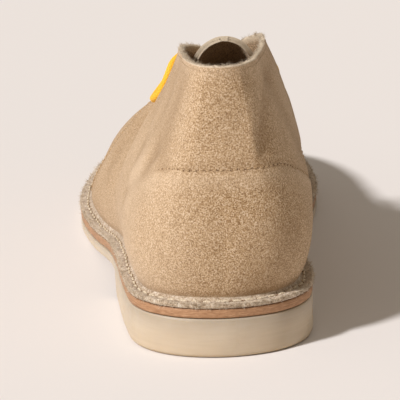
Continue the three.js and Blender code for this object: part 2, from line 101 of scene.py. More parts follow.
# Tongue, outer face along its middle: place along it, half width, point.
TONGUE = np.array([
    (0, 17, 8, 170, 66.8), (1, 16.5, 8, 154, 72.3), (2, 16, 8, 138, 78.4),
    (3, 16, 8, 114, 88.5), (4, 17, 7.8, 100, 95.2), (5, 17.5, 7.5, 85, 105),
], float)
TONGUE_THICK, TONGUE_ARCH, TONGUE_END = 2.3, 15.0, 15.0
EYELET_Y = {"upper": 119.0, "lower": 138.0}
EYELET_IN, EYELET_RADIUS, EYELET_SIDES = 8.5, 2.0, 20
PIN_OUT, PIN_IN = 3.0, 2.5  # how far the pins that punch the eyelets reach past the suede
LACE, LACE_CLEAR = 3.4, 0.5
LACE_ROUTES = {
    "lace_loop_lateral": [
        (1.4, 127.2, 89.3), (-5, 124.8, 90.3), (-10.5, 120.9, 87.8), (-13.5, 117.4, 82.7),
        (-16.3, 118.4, 75.9), (-19.2, 124.3, 71.7), (-18.1, 131.9, 71.3), (-14.6, 136.5, 74.6),
        (-9.8, 136.6, 80.6), (-5.2, 132.5, 85.5), (1.6, 130.6, 88.2),
    ],
    "lace_loop_medial": [
        (14.6, 127.2, 89.4), (20, 124.3, 91.9), (26, 121.4, 90.2), (30.2, 121.4, 84.1),
        (31.5, 125.4, 79.7), (30.5, 130.3, 78.6), (27.8, 134, 80.4), (22.4, 135.2, 85.8),
        (17.5, 132.9, 88.1), (14.4, 130.6, 88.4),
    ],
    "lace_end_lateral": [
        (4.9, 134, 88.5), (3.6, 140.3, 88.2), (1.7, 145.9, 84.9), (-0.8, 151.3, 80.9),
        (-3.4, 157.1, 77.3), (-6.1, 163, 73.8), (-8.5, 168.9, 70.4), (-10.4, 174.6, 67.2),
    ],
    "lace_end_medial": [
        (11.3, 134, 88.5), (13, 140.7, 88.8), (15.5, 146.6, 85.6), (19.6, 150.4, 80.5),
        (22.9, 156.1, 76.5), (25.5, 162.2, 72.6), (27.4, 168.6, 68.9),
    ],
}
SIDES = {"lateral": -1, "medial": 1}


# ---------------------------------------------------------------- curves and noise
def smooth(t):
    t = np.clip(t, 0, 1)
    return t * t * (3 - 2 * t)


def rises(x, start, over):
    """Zero up to a start, then rising to one over that distance."""
    return smooth((x - start) / over)


def falls(x, end, over):
    """One, then falling over that distance to zero at the end."""
    return smooth((end - x) / over)


def bell(x, width):
    return np.exp(-((x / width) ** 2))


def along(table, at):
    """Smooth cubic through a table's rows, whose first column is the place; as in the CAD."""
    at = np.atleast_1d(np.asarray(at, float))
    knots, rows = table[:, 0], table[:, 1:]
    last = len(knots) - 1
    a = np.clip(np.searchsorted(knots, at, side="right") - 1, 0, last - 1)
    b, before, after = a + 1, np.maximum(a - 1, 0), np.minimum(a + 2, last)
    span = (knots[b] - knots[a])[:, None]
    t = (at - knots[a])[:, None] / span
    slope_a = (rows[b] - rows[before]) / (knots[b] - knots[before])[:, None] * span
    slope_b = (rows[after] - rows[a]) / (knots[after] - knots[a])[:, None] * span
    keep_a, keep_b = 2 * t**3 - 3 * t**2 + 1, -2 * t**3 + 3 * t**2
    return (
        keep_a * rows[a] + (t**3 - 2 * t**2 + t) * slope_a + keep_b * rows[b] + (t**3 - t**2) * slope_b
    )


def run_along(line):
    """Distance along a polyline at each of its points."""
    return np.concatenate([[0], np.cumsum(np.linalg.norm(np.diff(line, axis=0), axis=1))])


def read_off(at, places, rows):
    """A table's rows at new places, column by column."""
    return np.stack([np.interp(at, places, column) for column in rows.T], 1)


def circle(sides):
    return np.linspace(0, 2 * math.pi, sides, endpoint=False)


def wheel(angle, across, over):
    """Spokes at those angles round each centre, in the plane of its two directions."""
    return np.cos(angle)[None, :, None] * across[:, None] + np.sin(angle)[None, :, None] * over[:, None]


def numbered(points, start=0):
    """Vertex numbers, laid out as a grid of points is."""
    return start + np.arange(points.size // 3).reshape(points.shape[:-1])


def outline_samples():
    points = [(0.0, 0.0)] + [(-lateral, y) for y, lateral, _ in OUTLINE] + [(TOE_X, LENGTH)]
    points = np.array(points + [(medial, y) for y, _, medial in reversed(OUTLINE)], float)
    t = np.linspace(0, 1, OUTLINE_STEPS, endpoint=False)[:, None]
    found = []
    for n in range(len(points)):
        p0, p1, p2, p3 = (points[(n + k) % len(points)] for k in (-1, 0, 1, 2))
        found.append(
            0.5 * (2 * p1 + (p2 - p0) * t + (2 * p0 - 5 * p1 + 4 * p2 - p3) * t**2
                   + (3 * p1 - p0 - 3 * p2 + p3) * t**3)
        )
    return np.vstack(found)


RIM = outline_samples()
RIM_ALONG = np.roll(RIM, -1, 0) - np.roll(RIM, 1, 0)
RIM_ALONG /= np.linalg.norm(RIM_ALONG, axis=1)[:, None]
RIM_OUT = np.stack([-RIM_ALONG[:, 1], RIM_ALONG[:, 0]], 1)
TOE_INDEX = len(RIM) // 2


def station_y(turn):
    return LENGTH * (1 - np.cos(np.radians(turn))) / 2


def turn_of(y):
    return np.degrees(np.arccos(1 - 2 * np.asarray(y, float) / LENGTH))


def outline_at(side, turn):
    """Points of the outline and their outward normals, at sections around the last."""
    order = np.arange(TOE_INDEX + 1) if side == "lateral" else -np.arange(TOE_INDEX + 1)
    points, normals = RIM[order], RIM_OUT[order]
    place = np.interp(station_y(turn), points[:, 1], np.arange(len(points)))
    order = np.arange(len(points))
    normal = read_off(place, order, normals)
    normal /= np.linalg.norm(normal, axis=1)[:, None]
    flat = np.zeros((len(normal), 1))
    return np.hstack([read_off(place, order, points), flat]), np.hstack([normal, flat])


def crepe_top(y):
    seat = HEEL_HEIGHT + (SOLE_THICK - HEEL_HEIGHT) * rises(y, HEEL_FROM, BALL_FROM - HEEL_FROM)
    return seat + TOE_SPRING * np.maximum(0, (y - SPRING_FROM) / (LENGTH - SPRING_FROM)) ** 2


def crepe_bottom(y):
    raised = crepe_top(y) - SOLE_THICK
    return raised * np.clip((y - BREAST_FOOT) / (BREAST_TOP - BREAST_FOOT), 0, 1)


def upper_foot(y):
    """Height that the upper and the footbed rest at: half a gap above the midsole."""
    return crepe_top(y) + MIDSOLE + GAP / 2


def section_points(side, turn, t):
    """Outer surface of the upper: points for each section (turn) and each place up it (t)."""
    point, normal = outline_at(side, turn)
    feather = point - normal * FLANGE
    feather[:, 2] = upper_foot(feather[:, 1]) + FLANGE_THICK + FILLET
    line = along(TOP_LINE, turn)
    top = line[:, 1:4] if side == "lateral" else line[:, 4:7]
    full = along(FULLNESS, turn)
    rise, flare, shoulder, drop = (full[:, :4] if side == "lateral" else full[:, 4:]).T[:, :, None]
    aim = np.radians(line[:, 0])
    slope = np.where(turn < THROAT_TURN, 0.0, math.radians(RIDGE_SLOPE))
    away = np.stack(
        [SIDES[side] * np.cos(aim), np.sin(aim) * np.cos(slope), -np.sin(aim) * np.sin(slope)], 1
    )
    up = np.array([0.0, 0.0, 1.0])
    p = [feather, feather + normal * flare + up * rise, top + away * shoulder - up * drop, top]
    p = [row[:, None, :] for row in p]
    t = np.atleast_2d(t)[:, :, None]
    return (1 - t) ** 3 * p[0] + 3 * (1 - t) ** 2 * t * p[1] + 3 * (1 - t) * t**2 * p[2] + t**3 * p[3]


def noise(points, size, seed):
    """Smooth value noise from -1 to 1, with features of about that size in millimetres."""
    p = np.asarray(points, float) / size + 31.7 * seed
    cell = np.floor(p).astype(np.int64)
    f = smooth(p - cell)
    total = 0.0
    for corner in np.ndindex(2, 2, 2):
        key = (cell + corner) @ np.array([374761393, 668265263, 1442695041]) + seed * 144665
        key = (key ^ (key >> 13)) * 1274126177
        key ^= key >> 16
        share = np.prod([f[..., n] if corner[n] else 1 - f[..., n] for n in range(3)], axis=0)
        total = total + ((key & 0xFFFF) / 32767.5 - 1) * share
    return total


def noises(points, table, start=0.0):
    """Noises added up, each given as its height, the size of its features, and its seed."""
    for height, size, seed in table:
        start = start + height * noise(points, size, seed)
    return start


def unit(v):
    return v / np.maximum(np.linalg.norm(v, axis=-1, keepdims=True), 1e-9)


def near_line(points, line):
    """Distance of 2-D points from a polyline."""
    line = np.array(line, float)
    best = np.full(points.shape[:-1], 1e9)
    for a, b in zip(line[:-1], line[1:]):
        span = b - a
        t = np.clip(((points - a) @ span) / (span @ span), 0, 1)
        best = np.minimum(best, np.linalg.norm(points - (a + t[..., None] * span), axis=-1))
    return best


# ---------------------------------------------------------------- to the shared frame
SOLE_LOW, SOLE_HIGH = (np.array(corner) * 1000 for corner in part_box("outsole"))
OFFSET = (SOLE_LOW + SOLE_HIGH) / 2
OFFSET[:2] -= (RIM.min(0) + RIM.max(0)) / 2
OFFSET[2] = SOLE_LOW[2]


def to_frame(points):
    return (np.asarray(points, float) + OFFSET) / 1000


def new_mesh(name, points, faces):
    """A mesh from points in the boot's frame."""
    mesh = bpy.data.meshes.new(name)
    mesh.from_pydata(to_frame(points).tolist(), [], [list(map(int, f)) for f in faces])
    return mesh


def new_object(name, data):
    made = bpy.data.objects.new(name, data)
    bpy.context.scene.collection.objects.link(made)
    return made


def make_piece(name, points, faces, material, replaces=(), values=None):
    """A mesh piece that rides on the root; values are per-point numbers that its material reads."""
    mesh = new_mesh(name, points, faces)
    for key, value in (values or {}).items():
        value = np.asarray(value, np.float32)
        if value.ndim == 1:
            mesh.attributes.new(key, "FLOAT", "POINT").data.foreach_set("value", value)
        else:
            mesh.attributes.new(key, "FLOAT_VECTOR", "POINT").data.foreach_set("vector", value.ravel())
    mesh.polygons.foreach_set("use_smooth", [True] * len(mesh.polygons))
    mesh.validate()
    for one in material if isinstance(material, (list, tuple)) else [material]:
        mesh.materials.append(one)
    piece = new_object(name, mesh)
    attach(piece, "root")
    if replaces:
        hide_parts(*replaces)
    return piece


def grid_faces(index):
    """Quads of a tube from its vertex numbers: a row is a ring, whose last corner meets its first."""
    columns = index.shape[1]
    found = []
    for near, far in zip(index[:-1], index[1:]):
        for c in range(columns):
            d = (c + 1) % columns
            found.append((near[c], near[d], far[d], far[c]))
    return found


def clean(points, faces, values):
    """Drops repeated corners of faces and vertices that no face uses."""
    kept = []
    for face in faces:
        face = [v for n, v in enumerate(face) if v != face[n - 1]]
        if len(set(face)) == len(face) > 2:
            kept.append(face)
    used = np.unique(np.concatenate([np.array(f) for f in kept]))
    new = np.full(len(points), -1)
    new[used] = np.arange(len(used))
    return points[used], [new[f] for f in kept], {k: v[used] for k, v in values.items()}


# ---------------------------------------------------------------- materials
class Nodes:
    """Short calls for a material's nodes."""

    def __init__(self, name):
        self.material = bpy.data.materials.new(name)
        self.material.use_nodes = True
        self.tree = self.material.node_tree
        self.shader = self.tree.nodes["Principled BSDF"]

    def add(self, kind, inputs=None, **options):
        node = self.tree.nodes.new(kind)
        for key, value in options.items():
            setattr(node, key, value)
        for key, value in (inputs or {}).items():
            self.feed(node.inputs[key], value)
        return node

    def feed(self, socket, value):
        if isinstance(value, bpy.types.NodeSocket):
            self.tree.links.new(value, socket)
        else:
            socket.default_value = value

    def here(self):
        return self.add("ShaderNodeTexCoord").outputs["Object"]

    def value(self, key):
        return self.add("ShaderNodeAttribute", attribute_name=key).outputs["Fac"]

    def vector(self, key):
        return self.add("ShaderNodeAttribute", attribute_name=key).outputs["Vector"]

    def math(self, operation, a, b=0.0):
        return self.add("ShaderNodeMath", {0: a, 1: b}, operation=operation).outputs[0]

    def noise(self, size, detail=2.0, rough=0.5, at=None, squeeze=None):
        """Noise with features of about that size in metres, or in at's own unit."""
        at = at or self.here()
        if squeeze:
            at = self.add("ShaderNodeVectorMath", {0: at, 1: squeeze}, operation="MULTIPLY").outputs[0]
        inputs = {"Vector": at, "Scale": 1 / size, "Detail": detail, "Roughness": rough}
        return self.add("ShaderNodeTexNoise", inputs).outputs["Fac"]

    def blend(self, a, share, b):
        """Two heights or tones added up, the first by that share and the second by the rest."""
        return self.math("ADD", self.math("MULTIPLY", a, share), self.math("MULTIPLY", b, 1 - share))

    def ramp(self, fac, stops, mode="LINEAR"):
        node = self.add("ShaderNodeValToRGB", {"Fac": fac})
        node.color_ramp.interpolation = mode
        while len(node.color_ramp.elements) < len(stops):
            node.color_ramp.elements.new(0.5)
        for element, (place, color) in zip(node.color_ramp.elements, stops):
            element.position = place
            element.color = color
        return node.outputs["Color"]

    def span(self, fac, low, high, to_low=0.0, to_high=1.0):
        inputs = {0: fac, 1: low, 2: high, 3: to_low, 4: to_high}
        return self.add("ShaderNodeMapRange", inputs).outputs[0]

    def mix(self, fac, a, b):
        node = self.add("ShaderNodeMix", data_type="RGBA")
        for socket, value in zip((node.inputs[0], node.inputs[6], node.inputs[7]), (fac, a, b)):
            self.feed(socket, value)
        return node.outputs[2]

    def tint(self, color, fac, low, high, share, toward):
        """The colour, mixed towards another as fac passes from low to high, by up to that share."""
        return self.mix(self.span(fac, low, high, 0.0, share), color, toward)

    def worn(self, color, key, share, toward):
        """The colour, mixed towards another by that share of a per-point value; on the suede these values
        hold wear and dirt together with painted highlight and painted shade.
        """
        return self.mix(self.math("MULTIPLY", self.value(key), share), color, toward)

    def bump(self, height, distance, strength=1.0, normal=None):
        inputs = {"Height": height, "Distance": distance, "Strength": strength}
        if normal:
            inputs["Normal"] = normal
        return self.add("ShaderNodeBump", inputs).outputs["Normal"]

    def done(self, **sockets):
        for key, value in sockets.items():
            self.feed(self.shader.inputs[key.replace("_", " ")], value)
        return self.material


def srgb(*rgb):
    """Linear colour from 0-255 display values."""
    c = np.array(rgb) / 255
    linear = np.where(c <= 0.04045, c / 12.92, ((c + 0.055) / 1.055) ** 2.4)
    return (*linear.tolist(), 1.0)


MM = 0.001


def suede_material(name, base, dark, light, pale, speckle=1.0):
    """Napped suede: clumps of fibre in two sizes, lighter rubbed patches from wear with painted highlight on
    the lit outer side, pale raw edges (value "raw"), and darker dirt with painted shade in hollows and along
    the foot.
    """
    m = Nodes(name)
    clumps = m.noise(0.56 * MM, 3, 0.62)
    fine = m.noise(0.27 * MM, 2, 0.6)
    patches = m.noise(26 * MM, 3, 0.55)
    mottle = m.noise(5 * MM, 3, 0.6)
    grain = m.blend(clumps, 0.62, fine)
    spread = 0.085 / speckle
    color = m.ramp(
        m.span(grain, 0.5 - spread, 0.5 + spread), [(0, dark), (0.5, base), (1, light)], "EASE"
    )
    color = m.tint(color, patches, 0.35, 0.65, 0.12, light)
    color = m.tint(color, mottle, 0.4, 0.7, 0.14, dark)
    # lighter by wear, and painted highlight on the lit outer side
    color = m.worn(color, "rub_and_highlight", 0.55, light)
    raw = m.math("MULTIPLY", m.value("raw"), m.span(fine, 0.3, 0.6, 0.72, 1.0))
    color = m.mix(raw, color, pale)
    # darker by dirt, and painted shade in the hollows and along the foot
    color = m.worn(color, "soil_and_shade", 0.5, dark)
    rough = m.bump(m.noise(2.4 * MM, 2), 0.25 * MM, 0.5)
    normal = m.bump(grain, 0.5 * MM, 0.85 * speckle, rough)
    return m.done(
        Base_Color=color, Roughness=0.93, Normal=normal, Sheen_Weight=0.28, Sheen_Roughness=0.45,
        Sheen_Tint=srgb(255, 236, 214), Specular_IOR_Level=0.18,
    )


def flange_material():
    """Raw turned-out edge of the suede: matted grey-brown fibre with pale tufts."""
    m = Nodes("suede_flange")
    tufts = m.noise(1.5 * MM, 4, 0.7)
    fibre = m.noise(0.45 * MM, 3, 0.65)
    patches = m.noise(12 * MM, 3, 0.55)
    grain = m.blend(tufts, 0.6, fibre)
    color = m.ramp(
        m.span(grain, 0.41, 0.59),
        [(0, srgb(140, 116, 92)), (0.4, srgb(208, 186, 160)), (0.75, srgb(229, 211, 188)),
         (1, srgb(250, 240, 224))],
    )
    color = m.tint(color, patches, 0.35, 0.7, 0.35, srgb(160, 136, 106))
    # darker where matted and dirty, and painted shade at its root beside the upper
    color = m.worn(color, "soil_and_shade", 0.22, srgb(132, 106, 80))
    normal = m.bump(grain, 0.9 * MM, 1.0)
    return m.done(
        Base_Color=color, Roughness=0.95, Normal=normal, Sheen_Weight=0.3, Sheen_Roughness=0.5,
        Specular_IOR_Level=0.15,
    )


def crepe_material():
    """Plantation crepe: milky, slightly see-through rubber in faint layers, greyer on top."""
    m = Nodes("crepe")
    rise = m.value("rise")
    flow = m.vector("flow")
    layers = m.noise(1.0, 4, 0.6, at=flow, squeeze=(0.035, 0.9, 0.9))
    cloud = m.noise(11 * MM, 3, 0.5)
    crumb = m.noise(1.3 * MM, 3, 0.65)
    color = m.ramp(
        rise,
        [(0.0, srgb(186, 160, 124)), (0.1, srgb(201, 182, 156)), (0.55, srgb(200, 183, 160)),
         (0.8, srgb(190, 175, 155)), (1.0, srgb(172, 157, 138))],
    )
    color = m.tint(color, layers, 0.35, 0.7, 0.3, srgb(180, 160, 132))
    color = m.tint(color, cloud, 0.4, 0.7, 0.25, srgb(208, 194, 174))
    normal = m.bump(m.blend(layers, 0.6, crumb), 0.3 * MM, 0.55)
    m.shader.subsurface_method = "RANDOM_WALK"
    return m.done(
        Base_Color=color, Roughness=m.span(crumb, 0.3, 0.7, 0.42, 0.6), Normal=normal,
        Subsurface_Weight=0.55, Subsurface_Radius=(1.0, 0.82, 0.55), Subsurface_Scale=4 * MM,
        Specular_IOR_Level=0.35,
    )


def leather_material():
    """Cut edge of the leather midsole: fibres in streaks along it, darkened at its top and bottom corners by
    painted shade where it meets the crepe and the flange.
    """
    m = Nodes("sole_leather")
    flow = m.vector("flow")
    streaks = m.noise(1.0, 4, 0.7, at=flow, squeeze=(0.2, 2.2, 1.0))
    blotches = m.noise(9 * MM, 3, 0.6)
    pores = m.noise(0.6 * MM, 2, 0.6)
    color = m.ramp(
        m.span(streaks, 0.28, 0.74),
        [(0, srgb(130, 92, 62)), (0.45, srgb(174, 131, 96)), (1, srgb(210, 170, 134))],
    )
    color = m.tint(color, blotches, 0.4, 0.75, 0.4, srgb(158, 112, 76))
    # painted shade along the top and bottom corners, where the layers meet
    corner = m.math("ABSOLUTE", m.span(m.value("rise"), 0.0, 1.0, -1.0, 1.0))
    color = m.tint(color, corner, 0.72, 1.0, 0.45, srgb(118, 82, 54))
    height = m.blend(streaks, 0.7, pores)
    return m.done(
        Base_Color=color, Roughness=m.span(streaks, 0.3, 0.7, 0.5, 0.68),
        Normal=m.bump(height, 0.35 * MM, 0.6), Specular_IOR_Level=0.35,
    )


def lining_material():
    """Footbed leather: fine pores, rubbed where the foot rests."""
    m = Nodes("footbed")
    wear = m.noise(30 * MM, 3, 0.5)
    grain = m.noise(1.1 * MM, 4, 0.6)
    color = m.ramp(
        m.span(wear, 0.3, 0.7), [(0, srgb(118, 88, 58)), (0.6, srgb(150, 116, 80)), (1, srgb(170, 136, 98))]
    )
    color = m.tint(color, grain, 0.45, 0.7, 0.35, srgb(92, 66, 42))
    return m.done(
        Base_Color=color, Roughness=m.span(grain, 0.3, 0.7, 0.55, 0.75), Normal=m.bump(grain, 0.3 * MM, 0.5)
    )


def lace_material():
    """Round braid in golden yellow: painted highlight on the crowns of its strands, painted shade deep
    between them.
    """
    m = Nodes("lace")
    crown = m.value("crown")
    fibres = m.noise(0.28 * MM, 2, 0.6)
    drift = m.noise(7 * MM, 2, 0.5)
    # painted shade between the strands, painted highlight on their crowns
    color = m.ramp(
        crown, [(0, srgb(150, 84, 6)), (0.45, srgb(234, 162, 14)), (1, srgb(252, 200, 38))]
    )
    color = m.tint(color, fibres, 0.4, 0.65, 0.35, srgb(250, 204, 76))
    color = m.tint(color, drift, 0.45, 0.7, 0.3, srgb(232, 160, 20))
    return m.done(
        Base_Color=color, Roughness=0.72, Normal=m.bump(fibres, 0.12 * MM, 0.7),
        Sheen_Weight=0.2, Sheen_Roughness=0.4,
    )


def thread_material(name, low, high):
    """Waxed thread: two plies that wind round each other, and a little fluff."""
    m = Nodes(name)
    plies = m.noise(0.5 * MM, 2, 0.5)
    fluff = m.noise(0.2 * MM, 2, 0.6)
    color = m.ramp(m.span(plies, 0.35, 0.65), [(0, low), (1, high)])
    return m.done(
        Base_Color=color, Roughness=m.span(fluff, 0.3, 0.7, 0.55, 0.8), Normal=m.bump(fluff, 0.1 * MM, 0.6)
    )


# painted shade: dark discs that stand in for the shade inside the needle holes
def hole_shade_material():
    m = Nodes("needle_hole_shade")
    shade = m.noise(0.6 * MM, 2, 0.5)
    color = m.ramp(m.span(shade, 0.3, 0.7), [(0, srgb(98, 72, 48)), (1, srgb(140, 108, 76))])
    return m.done(Base_Color=color, Roughness=0.95, Normal=m.bump(shade, 0.1 * MM, 0.5))


def aglet_material():
    """Clear plastic tip over the yellow braid, lightly scratched."""
    m = Nodes("aglet")
    scratch = m.noise(1.5 * MM, 3, 0.6)
    color = m.ramp(m.span(scratch, 0.3, 0.7), [(0, srgb(214, 158, 40)), (1, srgb(238, 190, 74))])
    return m.done(
        Base_Color=color, Roughness=m.span(scratch, 0.3, 0.7, 0.18, 0.4), Coat_Weight=0.5,
        Normal=m.bump(scratch, 0.05 * MM, 0.4),
    )


def floor_material():
    m = Nodes("floor")
    tone = m.noise(0.9, 2, 0.5)
    color = m.ramp(m.span(tone, 0.3, 0.7), [(0, srgb(229, 224, 221)), (1, srgb(231, 226, 223))])
    return m.done(Base_Color=color, Roughness=0.9, Specular_IOR_Level=0.1)


SUEDE = suede_material(
    "suede", srgb(184, 151, 111), srgb(131, 99, 64), srgb(221, 196, 167), srgb(221, 205, 182)
)
SUEDE_INSIDE = suede_material(
    "suede_inside", srgb(180, 147, 110), srgb(122, 92, 62), srgb(212, 186, 152), srgb(212, 196, 172), 1.5
)
SUEDE_FLANGE = flange_material()
CREPE, LEATHER, FOOTBED, BRAID = crepe_material(), leather_material(), lining_material(), lace_material()
THREAD = thread_material("welt_thread", srgb(186, 168, 140), srgb(228, 214, 190))
FINE_THREAD = thread_material("seam_thread", srgb(168, 136, 98), srgb(214, 186, 148))
EDGE_THREAD = thread_material("edge_thread", srgb(170, 140, 104), srgb(206, 178, 140))
HOLE_SHADE = hole_shade_material()


# ---------------------------------------------------------------- camera
# The photo's camera beside the boot, found by fitting the sole's lines: place, heading towards +x of +y,
# pitch down, roll, and focal length on a 400-unit frame. It turns about its own place to centre the boot.
CAMERA_AT = np.array([-59.0, -874.7, 303.6])
HEADING, PITCH, ROLL = math.radians(6.10), math.radians(15.32), math.radians(-0.70)
PHOTO_FOCAL, FRAME_SIDE, SENSOR = 2064.0, 400.0, 36.0
BOOT_CENTRE = np.array([103.0, 206.0])
ZOOM = 1.2


def make_camera():
    forward = np.array([
        math.sin(HEADING) * math.cos(PITCH), math.cos(HEADING) * math.cos(PITCH), -math.sin(PITCH)
    ])
    right = np.array([math.cos(HEADING), -math.sin(HEADING), 0.0])
    up = np.cross(right, forward)
    right, up = (
        right * math.cos(ROLL) + up * math.sin(ROLL), up * math.cos(ROLL) - right * math.sin(ROLL)
    )
    across, down = (BOOT_CENTRE - FRAME_SIDE / 2) / PHOTO_FOCAL
    aim = unit(forward + right * across - up * down)
    right = unit(right - aim * (right @ aim))
    up = np.cross(right, aim)
    data = bpy.data.cameras.new("camera")
    data.sensor_width = SENSOR
    data.lens = PHOTO_FOCAL * ZOOM / FRAME_SIDE * SENSOR
    data.clip_start, data.clip_end = 0.05, 20
    camera = new_object("camera", data)
    turn = Matrix([(right[n], up[n], -aim[n]) for n in range(3)]).to_4x4()
    camera.matrix_world = Matrix.Translation(Vector(to_frame(CAMERA_AT))) @ turn
    bpy.context.scene.camera = camera


make_camera()

# ---------------------------------------------------------------- laces
BRAID_SIDES, BRAID_STEP = 40, 0.26
STRANDS, STRAND_PITCH, STRAND_DEPTH = 8, 1.75, 0.24
END_CROWN = 0.3  # how light the cut end of a lace is


def smooth_path(route, step):
    """Points at even steps on the centripetal spline through a route, as the CAD's cords have."""
    p = np.array(route, float)
    p = np.vstack([2 * p[0] - p[1], p, 2 * p[-1] - p[-2]])
    found = []
    t = np.linspace(0, 1, 40, endpoint=False)[:, None]
    for k in range(1, len(p) - 2):
        p0, p1, p2, p3 = p[k - 1 : k + 3]
        d0, d1, d2 = (np.linalg.norm(b - a) ** 0.5 for a, b in ((p0, p1), (p1, p2), (p2, p3)))
        m1 = (p1 - p0) / d0 - (p2 - p0) / (d0 + d1) + (p2 - p1) / d1
        m2 = (p2 - p1) / d1 - (p3 - p1) / (d1 + d2) + (p3 - p2) / d2
        m1, m2 = m1 * d1, m2 * d1
        found.append(
            (2 * t**3 - 3 * t**2 + 1) * p1 + (t**3 - 2 * t**2 + t) * m1
            + (3 * t**2 - 2 * t**3) * p2 + (t**3 - t**2) * m2
        )
    path = np.vstack([*found, p[-2][None]])
    run = run_along(path)
    at = np.linspace(0, run[-1], max(int(round(run[-1] / step)), 2) + 1)
    return read_off(at, run, path), run[-1]


def frames_along(path):
    """Two directions across the path at each point, which turn as little as they can."""
    ahead = unit(np.gradient(path, axis=0))
    start = np.array([0.0, 0.0, 1.0]) if abs(ahead[0][2]) < 0.9 else np.array([1.0, 0.0, 0.0])
    first = [unit(start - ahead[0] * (start @ ahead[0]))]
    for n in range(1, len(path)):
        first.append(unit(first[-1] - ahead[n] * (first[-1] @ ahead[n])))
    first = np.array(first)
    return first, np.cross(ahead, first)


LACE_RADIUS = LACE / 2
LACE_FUZZ = [(0.04, 0.6, 3)]


def braid(routes):
    """Braided tubes along the routes, as one mesh: points, faces and the value "crown"."""
    points, faces, crowns = [], [], []
    for route in routes:
        path, length = smooth_path(route, BRAID_STEP)
        across, over = frames_along(path)
        angle = circle(BRAID_SIDES)
        run = np.linspace(0, length, len(path))[:, None]
        u = STRANDS * angle[None] / (2 * math.pi) + run / STRAND_PITCH
        v = STRANDS * angle[None] / (2 * math.pi) - run / STRAND_PITCH
        u_crown, v_crown = np.abs(np.sin(math.pi * u)), np.abs(np.sin(math.pi * v))
        u_over = (np.floor(u) + np.floor(v)) % 2 == 0
        crown = np.where(u_over, u_crown, v_crown) ** 0.7
        unrolled = np.stack([run + 0 * angle, 0 * run + angle * LACE_RADIUS, 0 * run + 0 * angle], -1)
        reach = noises(unrolled, LACE_FUZZ, LACE_RADIUS - STRAND_DEPTH * (1 - crown))
        ring = path[:, None] + reach[..., None] * wheel(angle, across, over)
        index = numbered(ring, sum(len(p) for p in points))
        faces += grid_faces(index)
        points.append(ring.reshape(-1, 3))
        crowns.append(crown.ravel())
        for row, centre in ((index[0][::-1], path[0]), (index[-1], path[-1])):
            middle = sum(len(p) for p in points)
            points.append(centre[None])
            crowns.append(np.array([END_CROWN]))
            faces += [(row[n], row[(n + 1) % len(row)], middle) for n in range(len(row))]
    return np.vstack(points), faces, {"crown": np.concatenate(crowns)}


def on_facing(side, y, set_back):
    """Place on the outer surface at a forward distance, set back from the facing edge, and its normal."""
    turns = np.arange(66, THROAT_TURN + 0.01, 0.25)
    t = np.linspace(0, 1, 241)
    rows = section_points(side, turns, t)
    run = np.concatenate(
        [np.zeros((len(turns), 1)), np.cumsum(np.linalg.norm(np.diff(rows, axis=1), axis=2), 1)], 1
    )
    places = np.array([np.interp(r[-1] - set_back, r, t) for r in run])
    points = np.array([section_points(side, turns[n : n + 1], places[n])[0, 0] for n in range(len(turns))])
    n = int(np.argmin(np.abs(points[:, 1] - y)))
    near = section_points(side, turns[n] + np.array([-0.5, 0, 0.5]), places[n] + np.array([-0.01, 0, 0.01]))
    forward, upward = near[2, 1] - near[0, 1], near[1, 2] - near[1, 0]
    return points[n], unit(np.cross(forward, upward) * SIDES[side])


def lace_run(height, dip_to):
    """Routes of the lace between two eyelets: out of each hole, over the facings and across."""
    y = EYELET_Y[height]
    lift = LACE / 2 + LACE_CLEAR
    halves = {}
    for side in SIDES:
        hole, normal = on_facing(side, y, EYELET_IN)
        middle, middle_normal = on_facing(side, y, EYELET_IN / 2)
        edge, edge_normal = on_facing(side, y, 0)
        inward = unit(edge - hole)
        halves[side] = [
            hole - normal * (WALL + 0.6), hole - normal * 0.4 + inward * 0.1,
            hole + normal * (lift - 0.7) + inward * 0.9, middle + middle_normal * lift,
            edge + edge_normal * lift,
        ]
    lateral, medial = halves["lateral"], halves["medial"][::-1]
    centre = (lateral[-1] + medial[0]) / 2
    centre[2] = max(lateral[-1][2], medial[0][2]) - 0.6
    if dip_to is None:
        return [[*lateral, centre, *medial]]
    # The two ends cross and go forwards into the knot.
    over, under = centre + (-1.2, 0.6, 1.0), centre + (1.2, 0.6, -0.9)
    left = [*lateral, over + (-0.6, -0.1, 0), over + (3.4, 2.6, 0.1), np.array(dip_to) + (1.6, 0, 0.4)]
    right = [
        *medial[::-1], under + (0.6, -0.1, 0), under + (-3.4, 2.6, -0.2), np.array(dip_to) - (1.6, 0, 0.9),
    ]
    return [left, right]


KNOT_BACK = (8.0, 125.4, 88.6)
KNOT_ROUTES = [
    [(1.4, 127.2, 89.3), (4.4, 127.0, 88.3), (8, 126.9, 87.7), (11.6, 127.0, 88.3), (14.6, 127.2, 89.4)],
    [(1.6, 130.6, 88.2), (5, 130.8, 87.2), (8, 130.9, 86.9), (11, 130.8, 87.2), (14.4, 130.6, 88.4)],
    [(6.2, 126.0, 85.6), (6.5, 124.3, 87.4), (7.1, 125.2, 90.0), (7.9, 128.4, 90.9), (8.6, 131.8, 90.1),
     (9.2, 133.6, 88.2), (9.0, 132.0, 86.0), (8.6, 129.0, 85.4)],
    [(7.6, 131.6, 86.8), (6.5, 132.9, 87.8), (4.9, 134.0, 88.5), (4.6, 135.6, 88.5)],
    [(8.8, 131.4, 86.6), (9.9, 132.8, 87.8), (11.3, 134.0, 88.5), (11.7, 135.6, 88.6)],
]


